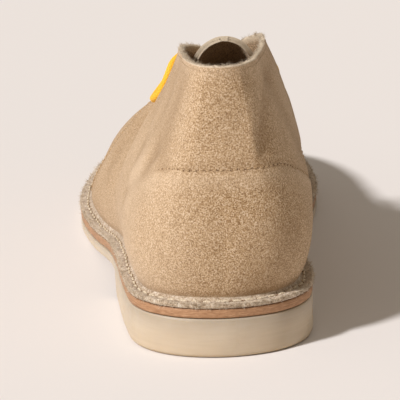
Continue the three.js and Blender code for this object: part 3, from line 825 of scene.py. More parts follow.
def make_laces():
    for height in EYELET_Y:
        points, faces, values = braid(lace_run(height, KNOT_BACK if height == "upper" else None))
        make_piece(f"lace_run_{height}", points, faces, BRAID, [f"lace_bar_{height}"], values)
    points, faces, values = braid(KNOT_ROUTES)
    knot = make_piece("bow_knot", points, faces, BRAID, ["lace_knot"], values)
    for name, route in LACE_ROUTES.items():
        points, faces, values = braid([route])
        piece = make_piece(name.replace("lace_", "bow_"), points, faces, BRAID, [name], values)
        path, length = smooth_path(route, 1.0)
        loop = "loop" in name
        with_pieces = [knot] if loop else [make_aglet(name.replace("lace_end", "aglet"), path)]


AGLET_LENGTH, AGLET_PAST, AGLET_SIDES = 11.0, 1.2, 28  # it reaches past the end of the lace by that
AGLET_PROFILE = np.array([  # along it, radius
    (0, 1.5), (0.3, 1.72), (0.9, 1.74), (1.2, 1.66), (1.6, 1.74), (3, 1.75), (6, 1.74), (9, 1.7),
    (10.2, 1.5), (10.8, 1.0), (AGLET_LENGTH, 0.15),
])


def make_aglet(name, path):
    """Plastic tip around the last of a lace, crimped at its inner end and rounded at its outer one."""
    ahead = unit(path[-1] - path[-4])
    along_tip, radii = AGLET_PROFILE.T
    centres = path[-1] + ahead * (along_tip - AGLET_LENGTH + AGLET_PAST)[:, None]
    # the tip follows the lace's last bend
    back = np.linalg.norm(centres - path[-1], axis=1)
    on_lace = read_off(back, run_along(path[::-1]), path[::-1])
    inside = ((centres - path[-1]) @ ahead < 0)[:, None]
    centres = np.where(inside, on_lace, centres)
    across, over = frames_along(centres)
    ring = centres[:, None] + radii[:, None, None] * wheel(circle(AGLET_SIDES), across, over)
    index = numbered(ring)
    faces = grid_faces(index)
    faces += [tuple(index[0][::-1]), tuple(index[-1])]
    return make_piece(name, ring.reshape(-1, 3), faces, aglet_material())


make_laces()

# ---------------------------------------------------------------- upper
# The quarters' front edge: its section where it crosses the ridge, and, in degrees of turn, how far
# forward its foot lies and how far to either side the sections lean with it.
SEAM_TURN, SEAM_FORWARD, SEAM_REACH = 98.0, 15.0, 16.0
SEAM_STEP, SEAM_CURVE = 1.0, 1.3
STEP_FROM, STEP_TO = 97.9, 98.05  # the two sections that the seam's step drops between
TURNS = np.unique(np.concatenate([
    np.arange(0, 180.01, 0.9), np.arange(94.8, 101.5, 0.3), [STEP_FROM, STEP_TO, THROAT_TURN],
]).round(3))
TURNS = np.delete(TURNS, np.where((TURNS > STEP_FROM) & (TURNS < STEP_TO))[0])
OUTER_T = np.unique(np.concatenate([np.linspace(0, 1, 71), [0.004, 0.009, 0.991, 0.996]]))
INNER_T = np.linspace(1, 0, 27)
# The turned-out flange: inwards from the outline and up from the midsole.
FLANGE_LINE = [
    (0.3, 0.0), (0.0, 0.2), (-0.1, 0.7), (-0.05, 1.2), (0.2, 1.6), (0.7, 1.8), (1.4, 1.86), (2.2, 1.8),
    (2.9, 1.66), (3.5, 1.7), (4.1, 1.95), (4.6, 2.4),
]
RIM_STEPS = 5  # across the cut top edge
RIM_CROWN = 0.3
# Unevenness of each surface: height, size of its features, seed.
SUEDE_WAVES = [(0.3, 24, 1), (0.14, 9, 2), (0.06, 3.4, 3)]
FLANGE_WORN, FLANGE_UNEVEN = [(0.3, 2.2, 5), (0.25, 5, 6)], [(0.24, 2.4, 7), (0.12, 7, 8)]
INNER_NAP, RIM_RAGGED = [(0.22, 4, 9), (0.16, 1.8, 10)], [(0.12, 0.9, 11), (0.1, 2.5, 12)]
TONGUE_NAP = [(0.12, 6, 21), (0.07, 2, 22)]
# Edge of the heel stiffener, and the stitch row just above it, seen from the side: y, z.
COUNTER = np.array([
    (-6, 70), (8, 70), (12, 69.7), (18, 68.3), (31, 62.5), (44, 57), (55, 52), (66, 44.5), (74, 35),
    (80, 24), (85, 8),
], float)
COUNTER_PROUD, COUNTER_SINK = 0.38, 0.35  # its step, and the share that lowers what is outside it
COUNTER_SOFT, COUNTER_BLUR = 2.2, 14.0  # width of the step, and what the nap adds where it swallows it
COUNTER_GONE = (130.0, 20.0)  # y where the stiffener has thinned out, and over how far
COUNTER_STITCH_UP = 1.1
GROOVE_DEPTH, GROOVE_WIDTH = 0.25, 1.3  # the stitches pull a groove just outside the edge
COUNTER_SHOWN_TO = {"lateral": 21.0, "medial": 50.0}  # y where the nap swallows its stitched edge
COUNTER_FADE = 16.0
VIEW_AXES = {"side": [1, 2], "top": [0, 1], "back": [0, 2]}
BACK_TO, BACK_OVER = 62.0, 14.0  # creases drawn from the back end here, over how far
CREASE_FOOT = (14.0, 14.0)  # height that creases start at, and over how far
VAMP_LEVELS = (134.0, 30.0)  # turn where the step down past the seam has levelled out, and over how far
SEAM_LIP, SEAM_LIP_WIDTH = 0.35, 6.0  # the quarters' edge swells behind the seam
SEAM_LIP_TO = 98.01  # turn where the swelling is cut off, just past the seam
LIT_SIDE_FROM, LIT_SIDE_OVER = 2.0, 30.0  # painted highlight: the nap is paler towards the outer, lit side: x it starts at, and the blend
LIT_BULGE, LIT_BULGE_SIZE = np.array([47.0, 60.0]), np.array([9.0, 8.0])  # painted highlight on the lit bulge of the outer side: y, z
# Wear that lightens raised suede, and painted shade that darkens its hollows, run from 0 to 1 along with how
# far the suede stands out or sinks in, up to LIFT_MOST millimetres.
LIFT_MOST = 1.2
RAW_FOOT = [0.4, 0.25, 0.1]  # rawness of the first rows above the flange
EDGE_RUB, EDGE_RUB_IN, EDGE_RUB_WIDTH = 0.3, 2.5, 3.5  # band inside the stiffener's edge
# Lightening of the suede: the last two, on the outer side and on its bulge, are painted highlight; the
# others are wear.
HIGH_RUB, COLLAR_RUB, PATCH_RUB, OUTER_HIGHLIGHT, BULGE_HIGHLIGHT = 0.5, 0.5, 0.5, 0.4, 0.8
COLLAR_RUB_FROM = (0.93, 0.07)  # share of the way up, and over how much of it
LIT_SIDE_TO = (140.0, 60.0)  # y where the painted highlight on the outer side has ended, and over how far
HOLLOW_SHADE, HOLLOW_SHADE_FROM = 0.8, 0.1  # painted shade in hollows deeper than that
FOOT_SHADE, FOOT_SHADE_TO = 0.8, 0.045  # painted shade along the foot, up to that share of the way up
# the last of these is painted shade where the flange meets the upper; the others are dirt
PATCH_SOIL, FLANGE_SOIL, ROOT_SHADE = 0.6, 0.35, 0.2
ROOT_FROM = 9  # row of the flange where its root, beside the upper, starts
WORN_TO = 2.4  # the flange is worn from its edge to this far inwards
# Creases and folds: side, view, line, half width, height (a trough is below zero).
CREASES = [
    (-1, "back", [(-12.4, 104), (-13.7, 98.4), (-15.9, 91.9), (-18.1, 84.6), (-20.2, 77.4), (-21.6, 70.5)],
     2.4, -0.6),
    (-1, "back", [(-8.6, 103), (-10.2, 97), (-12.2, 90), (-14.4, 82), (-16.4, 75)], 2.6, 0.4),
    (-1, "side", [(38, 106), (40, 92), (42, 80), (46, 70)], 6.0, 0.35),
    (1, "back", [(23.2, 99.2), (19.9, 98.3), (18.1, 93.8), (17, 88.6), (16, 82.7), (16.1, 76.9)], 2.6, -0.6),
    (1, "back", [(14.6, 104), (14.2, 97), (13.2, 90), (12.2, 83), (12, 76)], 2.6, 0.45),
    (1, "side", [(36, 106), (39, 92), (41, 78), (45, 66)], 6.5, -0.6),
    (-1, "side", [(30.6, 71.8), (36.7, 64.7), (46.4, 56.2), (65.3, 46.4)], 4.0, -0.75),
    (-1, "side", [(45, 64), (49, 61.4), (58, 56)], 5.0, 0.7),
    (-1, "side", [(62, 76), (84, 62), (104, 50)], 6.0, 0.4),
    (-1, "side", [(86, 84), (74, 74), (64, 68)], 5.0, -0.45),
    (1, "side", [(52, 70), (68, 58), (86, 42), (96, 32)], 7.0, -0.8),
    (1, "side", [(88, 86), (76, 74), (66, 68)], 5.0, -0.5),
    (-1, "side", [(120, 62), (134, 52), (144, 38)], 8.0, -0.5),
    (1, "side", [(120, 62), (136, 50), (146, 34)], 8.0, -0.6),
    (0, "top", [(-22, 190), (0, 197), (16, 198), (36, 189)], 4.5, -0.45),
    (0, "top", [(-26, 203), (-2, 209), (20, 209), (40, 200)], 4.5, -0.35),
    (0, "top", [(-24, 196), (0, 203), (18, 203.5), (38, 194)], 3.5, 0.3),
]


def counter_depth(points):
    """How far inside the stiffener's edge a point lies, seen from the side; below zero outside it."""
    view = points[..., 1:]
    inside = (view[..., 1] < np.interp(view[..., 0], COUNTER[:, 0], COUNTER[:, 1])) & (
        view[..., 0] < COUNTER[-1, 0]
    )
    return near_line(view, COUNTER) * np.where(inside, 1, -1)


def counter_shown(points, sign):
    """One where the stiffener's edge can be seen, falling to zero past its last stitch."""
    last = np.where(sign < 0, COUNTER_SHOWN_TO["lateral"], COUNTER_SHOWN_TO["medial"])
    return falls(points[..., 1], last + COUNTER_FADE, COUNTER_FADE)


def relief(points, sign, turn):
    """How far the suede stands out of the plain CAD surface."""
    depth, shown = counter_depth(points), counter_shown(points, sign)
    out = COUNTER_PROUD * (smooth(0.5 + depth / (COUNTER_SOFT + COUNTER_BLUR * (1 - shown))) - COUNTER_SINK)
    out = out * falls(points[..., 1], *COUNTER_GONE)
    out -= GROOVE_DEPTH * shown * bell(depth + COUNTER_STITCH_UP, GROOVE_WIDTH)
    for side, view, line, width, height in CREASES:
        form = height * bell(near_line(points[..., VIEW_AXES[view]], line), width)
        if view == "back":
            form = form * falls(points[..., 1], BACK_TO, BACK_OVER)
        out += np.where((side == 0) | (sign == side), form, 0) * rises(points[..., 2], *CREASE_FOOT)
    out += np.where(turn > SEAM_TURN, -1.0, 0.0) * SEAM_STEP * falls(turn, *VAMP_LEVELS)
    out += SEAM_LIP * bell(turn - SEAM_TURN, SEAM_LIP_WIDTH) * (turn < SEAM_LIP_TO)
    return noises(points, SUEDE_WAVES, out)


def upper_sheet():
    """Ring of sections round the last: outer points and normals, with side, turn and t of each."""
    columns = []
    for side, sign in SIDES.items():
        forward = SEAM_FORWARD * (1 - OUTER_T[None]) ** SEAM_CURVE
        turn = TURNS[:, None] + forward * bell(TURNS[:, None] - SEAM_TURN, SEAM_REACH)
        t = np.broadcast_to(OUTER_T, turn.shape)
        points = section_points(side, turn.ravel(), t.reshape(-1, 1))[:, 0].reshape(*turn.shape, 3)
        columns.append({"points": points, "sign": np.full(turn.shape, sign), "turn": turn})
    ring = {}
    for key in columns[0]:
        ring[key] = np.concatenate([columns[0][key], columns[1][key][-2:0:-1]])
    ring["base"] = np.concatenate([TURNS, TURNS[-2:0:-1]])
    return ring


VAMP_ROUNDS, NORMAL_ROUNDS, HEEL_ROUNDS = 90, 40, 160
# Where each rounding starts or ends, and over how far: by share of the way up, and by turn.
SOFT_UP, SOFT_TURN = (0.6, 0.3), (THROAT_TURN + 2, 9)
HEEL_SOFT_UP, HEEL_SOFT_TURN = (0.35, 0.4), (17, 8)


def mirror(count):
    """Number of the section opposite each one of the ring."""
    return (-np.arange(count)) % count


def join_ridge(values, closed, rows):
    """Makes the two sides of the closed vamp meet: the same values on both along those rows."""
    other = values[mirror(len(values))]
    joined = (values + other) / 2
    values[np.ix_(closed, rows)] = joined[np.ix_(closed, rows)]
    return values


def soften_vamp(points, rounds):
    """Rounds the closed vamp across its ridge, where the sections of both sides meet."""
    count = len(points)
    lateral = np.arange(int(np.argmin(np.abs(TURNS - THROAT_TURN))), len(TURNS))
    medial = (count - lateral) % count
    sheet = np.concatenate([points[lateral], points[medial][:, -2::-1]], 1)
    t = np.concatenate([OUTER_T, OUTER_T[-2::-1]])
    weight = rises(t[None], *SOFT_UP) * rises(TURNS[lateral][:, None], *SOFT_TURN)
    weight = 0.5 * weight[1:-1, 1:-1, None]
    for _ in range(rounds):
        around = (sheet[1:-1, 2:] + sheet[1:-1, :-2] + sheet[2:, 1:-1] + sheet[:-2, 1:-1]) / 4
        sheet[1:-1, 1:-1] += weight * (around - sheet[1:-1, 1:-1])
    points[lateral] = sheet[:, : len(OUTER_T)]
    points[medial] = sheet[:, len(OUTER_T) - 1 :][:, ::-1]
    return points


def soften_heel(points, base):
    """Rounds the back of the collar along the ring of sections."""
    weight = 0.5 * falls(base[:, None], *HEEL_SOFT_TURN) * rises(OUTER_T[None], *HEEL_SOFT_UP)
    for _ in range(HEEL_ROUNDS):
        around = (np.roll(points, 1, 0) + np.roll(points, -1, 0)) / 2
        points = points + weight[..., None] * (around - points)
    return points


OUTER_FROM = len(FLANGE_LINE)
OUTER_TIP = OUTER_FROM + len(OUTER_T) - 1
INNER_TIP = OUTER_TIP + RIM_STEPS


def flange_rows(rim, out, base):
    """The turned-out flange along the sections, worn at its edge and uneven on top."""
    rows = []
    for inwards, above in FLANGE_LINE:
        at = rim - out * inwards
        at[:, 2] = base + above
        share = falls(inwards, WORN_TO, WORN_TO) * (above > 0)
        at += out * (noises(at, FLANGE_WORN) * share)[:, None]
        at[:, 2] += np.where(above > 1, noises(at, FLANGE_UNEVEN), 0)
        rows.append(at)
    return np.stack(rows, 1)


def cut_edge(outer, inner, edge_up):
    """The cut top edge between the outer and the inner face, crowned and ragged."""
    strip = []
    for n in range(1, RIM_STEPS):
        s = n / RIM_STEPS
        at = outer[:, -1] * (1 - s) + inner[:, 0] * s
        crown = noises(at, RIM_RAGGED, RIM_CROWN * math.sin(math.pi * s))
        strip.append(at + edge_up * crown[:, None])
    return np.stack(strip, 1)


def upper_faces(ring, closed, is_open, index):
    """Quads between the sections; the closed vamp shares its ridge, so it has no cut edge."""
    count, columns = index.shape
    opposite = mirror(count)
    for k in closed:
        if ring["sign"][k, 0] > 0:
            index[k, OUTER_TIP : INNER_TIP + 1] = index[opposite[k], OUTER_TIP : INNER_TIP + 1]
    faces = []
    for k in range(count):
        far = (k + 1) % count
        for n in range(columns):
            above = (n + 1) % columns
            if OUTER_TIP <= n < INNER_TIP and not (is_open[k] or is_open[far]):
                continue
            faces.append((index[k, n], index[k, above], index[far, above], index[far, n]))
    return faces


def upper_values(ring, plain, lift, profile, is_open):
    """What the suede's materials read at each point, each from 0 to 1."""
    raw, rub_and_highlight, soil_and_shade, inside, turned_out = np.zeros((5, *profile.shape[:2]))
    raw[:, OUTER_FROM : OUTER_FROM + len(RAW_FOOT)] = RAW_FOOT
    raw[is_open, OUTER_TIP : INNER_TIP + 1] = 1.0
    outer_part = slice(OUTER_FROM, OUTER_TIP + 1)
    edge = bell(counter_depth(plain) - EDGE_RUB_IN, EDGE_RUB_WIDTH)
    rub_and_highlight[:, outer_part] = EDGE_RUB * counter_shown(plain, ring["sign"]) * edge
    rub_and_highlight[:, outer_part] += np.clip(lift, 0, LIFT_MOST) * HIGH_RUB
    rub_and_highlight[:, outer_part] += COLLAR_RUB * rises(OUTER_T[None], *COLLAR_RUB_FROM) * is_open[:, None]
    rub_and_highlight[:, outer_part] += PATCH_RUB * smooth(noise(plain, 30, 14) - 0.1)
    # painted highlight on the lit outer side and on its bulge
    rub_and_highlight[:, outer_part] += OUTER_HIGHLIGHT * (
        falls(plain[..., 0], LIT_SIDE_FROM, LIT_SIDE_OVER) * falls(plain[..., 1], *LIT_SIDE_TO)
    )
    from_lit_bulge = np.linalg.norm((plain[..., 1:] - LIT_BULGE) / LIT_BULGE_SIZE, axis=-1)
    rub_and_highlight[:, outer_part] += np.where(ring["sign"] < 0, BULGE_HIGHLIGHT * bell(from_lit_bulge, 1), 0)
    # painted shade: darker in the hollows and along the foot
    low = np.clip(-lift - HOLLOW_SHADE_FROM, 0, LIFT_MOST)
    soil_and_shade[:, outer_part] = low * HOLLOW_SHADE + FOOT_SHADE * falls(OUTER_T[None], FOOT_SHADE_TO, FOOT_SHADE_TO)
    soil_and_shade[:, outer_part] += PATCH_SOIL * smooth(noise(plain, 18, 15) - 0.25)
    matted = smooth(noise(profile[:, 1:OUTER_FROM], 2.6, 16) + 0.5)
    soil_and_shade[:, 1:OUTER_FROM] = FLANGE_SOIL + 0.5 * matted
    # painted shade where the flange meets the upper
    soil_and_shade[:, ROOT_FROM:OUTER_FROM] += ROOT_SHADE
    inside[:, INNER_TIP:] = 1.0
    turned_out[:, :OUTER_FROM] = 1.0
    return {
        "raw": raw.ravel(), "rub_and_highlight": np.clip(rub_and_highlight, 0, 1).ravel(), "soil_and_shade": np.clip(soil_and_shade, 0, 1).ravel(),
        "inside": inside.ravel(), "turned_out": turned_out.ravel(),
    }


def make_upper():
    ring = upper_sheet()
    closed = np.where(ring["base"] >= THROAT_TURN - 1e-6)[0]
    is_open = ring["base"] < THROAT_TURN - 1e-6
    tip = [len(OUTER_T) - 1]
    plain = join_ridge(ring["points"], closed, tip)
    plain = soften_heel(soften_vamp(plain, VAMP_ROUNDS), ring["base"])
    forward = np.roll(plain, -1, 0) - np.roll(plain, 1, 0)
    normals = unit(join_ridge(unit(np.cross(np.gradient(plain, axis=1), forward)), closed, tip))
    # the toe's sections fan out of one place, where a single normal is unsure: neighbours settle it
    normals = unit(soften_vamp(normals, NORMAL_ROUNDS))
    lift = join_ridge(relief(plain, ring["sign"], ring["base"][:, None]), closed, tip)
    outer = plain + normals * lift[..., None]

    rim, out = np.zeros((2, len(plain), 3))
    for side, sign in SIDES.items():
        mine = ring["sign"][:, 0] == sign
        rim[mine], out[mine] = outline_at(side, ring["turn"][mine, 0])
    base = upper_foot(rim[:, 1])
    inner_all = plain - normals * WALL + normals * noises(plain, INNER_NAP)[..., None]
    inner = np.stack([read_off(INNER_T[::-1], OUTER_T, column)[::-1] for column in inner_all])
    inner = join_ridge(inner, closed, [0])
    foot = rim - out * (FLANGE + WALL)
    foot[:, 2] = base
    edge_up = unit(outer[:, -1] - outer[:, -4])
    strip = join_ridge(cut_edge(outer, inner, edge_up), closed, range(RIM_STEPS - 1))

    profile = np.concatenate([flange_rows(rim, out, base), outer, strip, inner, foot[:, None]], 1)
    faces = upper_faces(ring, closed, is_open, numbered(profile))
    values = upper_values(ring, plain, lift, profile, is_open)
    points, faces, values = clean(profile.reshape(-1, 3), faces, values)
    finishes = [SUEDE, SUEDE_INSIDE, SUEDE_FLANGE]
    upper = make_piece("suede_upper", points, faces, finishes, ["upper"], values)
    ends = np.array([(v.vertices[0], v.vertices[2]) for v in upper.data.polygons])
    lining = (values["inside"][ends] > 0.5).all(1)
    flanged = (values["turned_out"][ends] > 0.5).any(1) & ~lining
    upper.data.polygons.foreach_set("material_index", np.where(flanged, 2, lining).astype(np.int32))
    punch_eyelets(upper)
    return {**ring, "outer": outer, "outward": normals, "inner": inner, "edge_up": edge_up}


def punch_eyelets(upper):
    """Cuts the four lace holes through the facings."""
    pins = []
    for side in SIDES:
        for y in EYELET_Y.values():
            hole, normal = on_facing(side, y, EYELET_IN)
            across = unit(np.cross(normal, (0.0, 1.0, 0.0)))
            over = np.cross(normal, across)
            angle = circle(EYELET_SIDES)[:, None]
            rim = EYELET_RADIUS * (np.cos(angle) * across + np.sin(angle) * over)
            pins.append((hole + normal * PIN_OUT + rim, hole - normal * (WALL + PIN_IN) + rim))
    points = np.array(pins)
    faces = []
    for index in numbered(points):
        faces += grid_faces(index)
        faces += [tuple(index[0][::-1]), tuple(index[1])]
    points = points.reshape(-1, 3)
    cutter = new_object("eyelet_pins", new_mesh("eyelet_pins", points, faces))
    cutter.data.materials.append(SUEDE)
    cut = upper.modifiers.new("eyelets", "BOOLEAN")
    cut.operation, cut.solver, cut.object = "DIFFERENCE", "EXACT", cutter
    seen = upper.evaluated_get(bpy.context.evaluated_depsgraph_get())
    made = bpy.data.meshes.new_from_object(seen)
    upper.modifiers.clear()
    old, upper.data = upper.data, made
    bpy.data.meshes.remove(old)
    bpy.data.objects.remove(cutter)


UPPER = make_upper()


# ---------------------------------------------------------------- tongue
TONGUE_STEPS, TONGUE_ACROSS = 96, 40
TONGUE_CROWD = 1.6  # its rows crowd towards the tip
TONGUE_NEAR = 0.02  # how far along it the slope is measured to either side
# Round its cut edge, out and in from the outer face: two layers with a groove between them.
TONGUE_EDGE = [(0.25, 0.15), (0.1, 0.6), (-0.14, 1.15), (0.1, 1.7), (0.25, 2.15)]
TONGUE_RUB, TONGUE_SOIL = 0.15, 0.35
TONGUE_SHARP = math.radians(50)  # corners of the cut tip stay crisp above this
TONGUE_BLUNT = 2.0  # half width left at the very tip
TONGUE_CAP = [(0.96, 0.1), (0.8, 0.18)]  # size of each closing row, and how far on it lies


def make_tongue():
    across, last = TONGUE_ACROSS, TONGUE[-1, 0]
    place = last * (1 - (1 - np.linspace(0, 1, TONGUE_STEPS)) ** TONGUE_CROWD)
    rows = along(TONGUE, place)
    before = along(TONGUE, np.maximum(place - TONGUE_NEAR, 0))
    after = along(TONGUE, np.minimum(place + TONGUE_NEAR, last))
    middle, forward = rows[:, 1:], unit(after[:, 1:] - before[:, 1:])
    outward = unit(-np.cross(np.array([1.0, 0, 0]), forward))
    left = np.linalg.norm(middle - TONGUE[-1, 2:], axis=1) / TONGUE_END
    reach = rows[:, 0] * np.sqrt(np.clip(1 - (1 - np.minimum(left, 1)) ** 2, 0, 1))
    reach = np.maximum(reach, TONGUE_BLUNT)
    s = np.linspace(-1, 1, across + 1)
    # round the section: outer face, one edge, inner face, the other edge
    loop = [(v, 0.0, 0.0) for v in s] + [(1.0, out, depth) for out, depth in TONGUE_EDGE]
    loop += [(v, 0.0, TONGUE_THICK) for v in s[::-1]]
    loop += [(-1.0, out, depth) for out, depth in TONGUE_EDGE[::-1]]
    rings, raw = [], []
    for v, out, depth in loop:
        radius = TONGUE_ARCH - depth
        bend = (v * reach + np.sign(v) * out) / TONGUE_ARCH
        at = middle + outward * (radius * np.cos(bend) - TONGUE_ARCH)[:, None]
        at += np.array([1.0, 0, 0]) * (radius * np.sin(bend))[:, None]
        rings.append(at + outward * noises(at, TONGUE_NAP)[:, None])
        raw.append(np.full(TONGUE_STEPS, 1.0 if out or abs(v) == 1 else 0.35 * (abs(v) > 0.93)))
    points = np.stack(rings, 1)
    raw = np.stack(raw, 1)
    raw[-3:] = 1.0
    # round off the blunt tip: rows that run on while they close in on its middle
    tip, ahead = points[-1], forward[-1]
    for size, on in TONGUE_CAP:
        points = np.concatenate([points, [tip.mean(0) + (tip - tip.mean(0)) * size + ahead * on]])
        raw = np.concatenate([raw, raw[-1:]])
    index = numbered(points)
    faces = [face[::-1] for face in grid_faces(index)]
    side = len(TONGUE_EDGE)
    for row, flip in ((index[0], False), (index[-1], True)):
        face = list(row[: across + 1]), list(row[across + 1 + side : 2 * across + 2 + side][::-1])
        for n in range(across):
            quad = [face[0][n], face[0][n + 1], face[1][n + 1], face[1][n]]
            faces.append(quad[::-1] if flip else quad)
        ends = (
            [row[across], *row[across + 1 : across + 1 + side], row[across + 1 + side]],
            [row[2 * across + 1 + side], *row[2 * across + 2 + side :], row[0]],
        )
        faces += [end[::-1] if flip else end for end in ends]
    zero = np.zeros(points.shape[:2])
    soil_and_shade = zero + TONGUE_SOIL * smooth(noise(points, 12, 23))
    values = {"raw": raw.ravel(), "rub_and_highlight": (zero + TONGUE_RUB).ravel(), "soil_and_shade": soil_and_shade.ravel()}
    points_flat = points.reshape(-1, 3)
    tongue = make_piece("suede_tongue", points_flat, faces, SUEDE_INSIDE, ["tongue"], values)
    tongue.data.set_sharp_from_angle(angle=TONGUE_SHARP)
    return points[:TONGUE_STEPS], forward


TONGUE_POINTS, TONGUE_AHEAD = make_tongue()

# ---------------------------------------------------------------- sole
BREAST_STATIONS = [BREAST_FOOT, 81, 83.5, BREAST_TOP]
SOLE_TURNS = np.unique(np.concatenate([np.arange(0, 180.01, 0.9), turn_of(BREAST_STATIONS)]))
UNDER, OVER = -1, 2  # what a roughening is told for the flat faces, instead of a share of the edge


def make_plate(name, node, material, bottom, top, edge, across, values, roughen):
    """A sole layer: edge is its profile, inwards and up as a share of its height plus millimetres."""
    sides = {}
    for side in SIDES:
        rim, out = outline_at(side, SOLE_TURNS)
        rows = []
        for inwards, share, extra in edge:
            at = rim - out * inwards
            low, high = bottom(at[:, 1]), top(at[:, 1])
            at[:, 2] = low + (high - low) * share + extra
            rows.append(roughen(at, out, share))
        sides[side] = np.stack(rows, 1)
    lateral, medial = sides["lateral"], sides["medial"]
    span = np.linspace(0, 1, across + 2)[1:-1][None, :, None]
    low = medial[:, :1] * (1 - span) + lateral[:, :1] * span
    high = lateral[:, -1:] * (1 - span) + medial[:, -1:] * span
    low = np.stack([roughen(low[:, n], None, UNDER) for n in range(across)], 1)
    high = np.stack([roughen(high[:, n], None, OVER) for n in range(across)], 1)
    ring = np.concatenate([lateral, high, medial[:, ::-1], low], 1)
    index = numbered(ring)
    # both ends close onto their own edge line
    for station in (0, len(index) - 1):
        keep = index[station, : len(edge)]
        index[station, len(edge) : len(edge) + across] = keep[-1]
        index[station, len(edge) + across : 2 * len(edge) + across] = keep[::-1]
        index[station, 2 * len(edge) + across :] = keep[0]
    faces = grid_faces(index)
    points = ring.reshape(-1, 3)
    found = {key: make(ring).ravel() if key != "flow" else make(ring).reshape(-1, 3)
             for key, make in values.items()}
    points, faces, found = clean(points, faces, found)
    return make_piece(name, points, faces, material, [node], found)


SOLE_CENTRE, SOLE_STRETCH, SOLE_REACH = (4.0, 150.0), 2.6, 118.0  # the oval that the grain runs round


def flow_of(ring):
    """Distance round the sole, height and depth, for grain that follows the edge."""
    angle = np.arctan2(ring[..., 0] - SOLE_CENTRE[0], (ring[..., 1] - SOLE_CENTRE[1]) / SOLE_STRETCH)
    return np.stack([angle * SOLE_REACH, ring[..., 2], 0 * angle], -1)


def rise_between(low, high):
    return lambda ring: np.clip(
        (ring[..., 2] - low(ring[..., 1])) / np.maximum(high(ring[..., 1]) - low(ring[..., 1]), 0.5), 0, 1
    )


def roughen_crepe(at, out, share):
    if share == UNDER:
        # crinkled tread underneath, flat enough to stand on
        lift = 0.28 * (1 + noise(at, 5.5, 31)) + 0.12 * (1 + noise(at, 3.0, 32))
        return at + np.array([0, 0, 1.0]) * lift[:, None]
    if share == OVER:
        return at
    wave = 0.16 * noise(at * (1, 1, 3.0), 14, 33) + 0.07 * noise(at * (1, 1, 4.0), 3.5, 34)
    return at + out * (wave * (0 < share < 1))[:, None]


def roughen_footbed(at, out, share):
    return at + np.array([0, 0, 1.0]) * ((0.25 * noise(at, 25, 41) - 0.25) * (share == OVER))[:, None]


def roughen_leather(at, out, share):
    if share in (UNDER, OVER):
        return at
    wave = 0.07 * noise(at * (1, 1, 6.0), 5, 35) + 0.05 * noise(at * (1, 1, 5.0), 1.8, 36)
    return at + out * wave[:, None]


def crepe_edge():
    bevel = 1.6
    steps = [(bevel * (1 - math.sin(a)), 0.0, bevel * (1 - math.cos(a))) for a in np.linspace(0, 1.5, 6)]
    walls = [(0.0, s, bevel * (1 - s)) for s in np.linspace(0.08, 0.93, 11)]
    return [*steps, *walls, (0.12, 1.0, -0.25), (0.35, 1.0, -0.05), (0.8, 1.0, 0.0)]


def leather_edge():
    return [
        (0.7, 0.0, 0.0), (0.3, 0.0, 0.06), (0.08, 0.0, 0.35), (0.0, 0.25, 0.0), (-0.04, 0.5, 0.0),
        (0.0, 0.75, 0.0), (0.08, 1.0, -0.35), (0.3, 1.0, -0.06), (0.7, 1.0, 0.0),
    ]


def make_soles():
    top_of_crepe = lambda y: crepe_top(y) - GAP / 2
    make_plate(
        "crepe_outsole", "outsole", CREPE, crepe_bottom, top_of_crepe, crepe_edge(), 34,
        {"rise": rise_between(crepe_bottom, top_of_crepe), "flow": flow_of}, roughen_crepe,
    )
    low, high = (lambda y: crepe_top(y) + GAP / 2), (lambda y: crepe_top(y) + MIDSOLE - GAP / 2)
    make_plate(
        "leather_midsole", "midsole", LEATHER, low, high, leather_edge(), 12,
        {"rise": rise_between(low, high), "flow": flow_of}, roughen_leather,
    )
    inset = FLANGE + WALL + INSOLE_CLEAR
    top_of_footbed = lambda y: upper_foot(y) + INSOLE
    make_plate(
        "footbed", "insole", FOOTBED, upper_foot, top_of_footbed,
        [(inset, 0.0, 0.0), (inset, 0.5, 0.0), (inset + 0.2, 0.85, 0.0), (inset + 0.9, 1.0, 0.0)], 24,
        {"rise": rise_between(upper_foot, top_of_footbed)}, roughen_footbed,
    )


make_soles()


# ---------------------------------------------------------------- stitches
HOLE_SIDES = 9
HOLE_RINGS = ((0.6, 0.05), (1.0, 0.1), (1.25, -0.12))  # share of its size, and height
HOLE_MIDDLE = 0.02
# Along a thread: place, and share of its radius.
THREAD_AT = np.array([0, 0.08, 0.2, 0.38, 0.5, 0.62, 0.8, 0.92, 1])
THREAD_GIRTH = np.array([0.3, 0.75, 0.95, 1.0, 1.0, 1.0, 0.95, 0.75, 0.3])
STITCH_WANDER, STITCH_UNEVEN, HOLE_UNEVEN = 0.12, 0.05, 0.15
THREAD_TWIST, THREAD_TURNS = 0.13, 9.0  # depth of its two plies, and how fast they wind
THREAD_DIVE = 0.9  # how deep its ends go, in radii


def resample(line, normals, step):
    """Points and normals at even steps along a polyline."""
    run = run_along(line)
    at = np.arange(0, run[-1], step)
    return read_off(at, run, line), unit(read_off(at, run, normals))


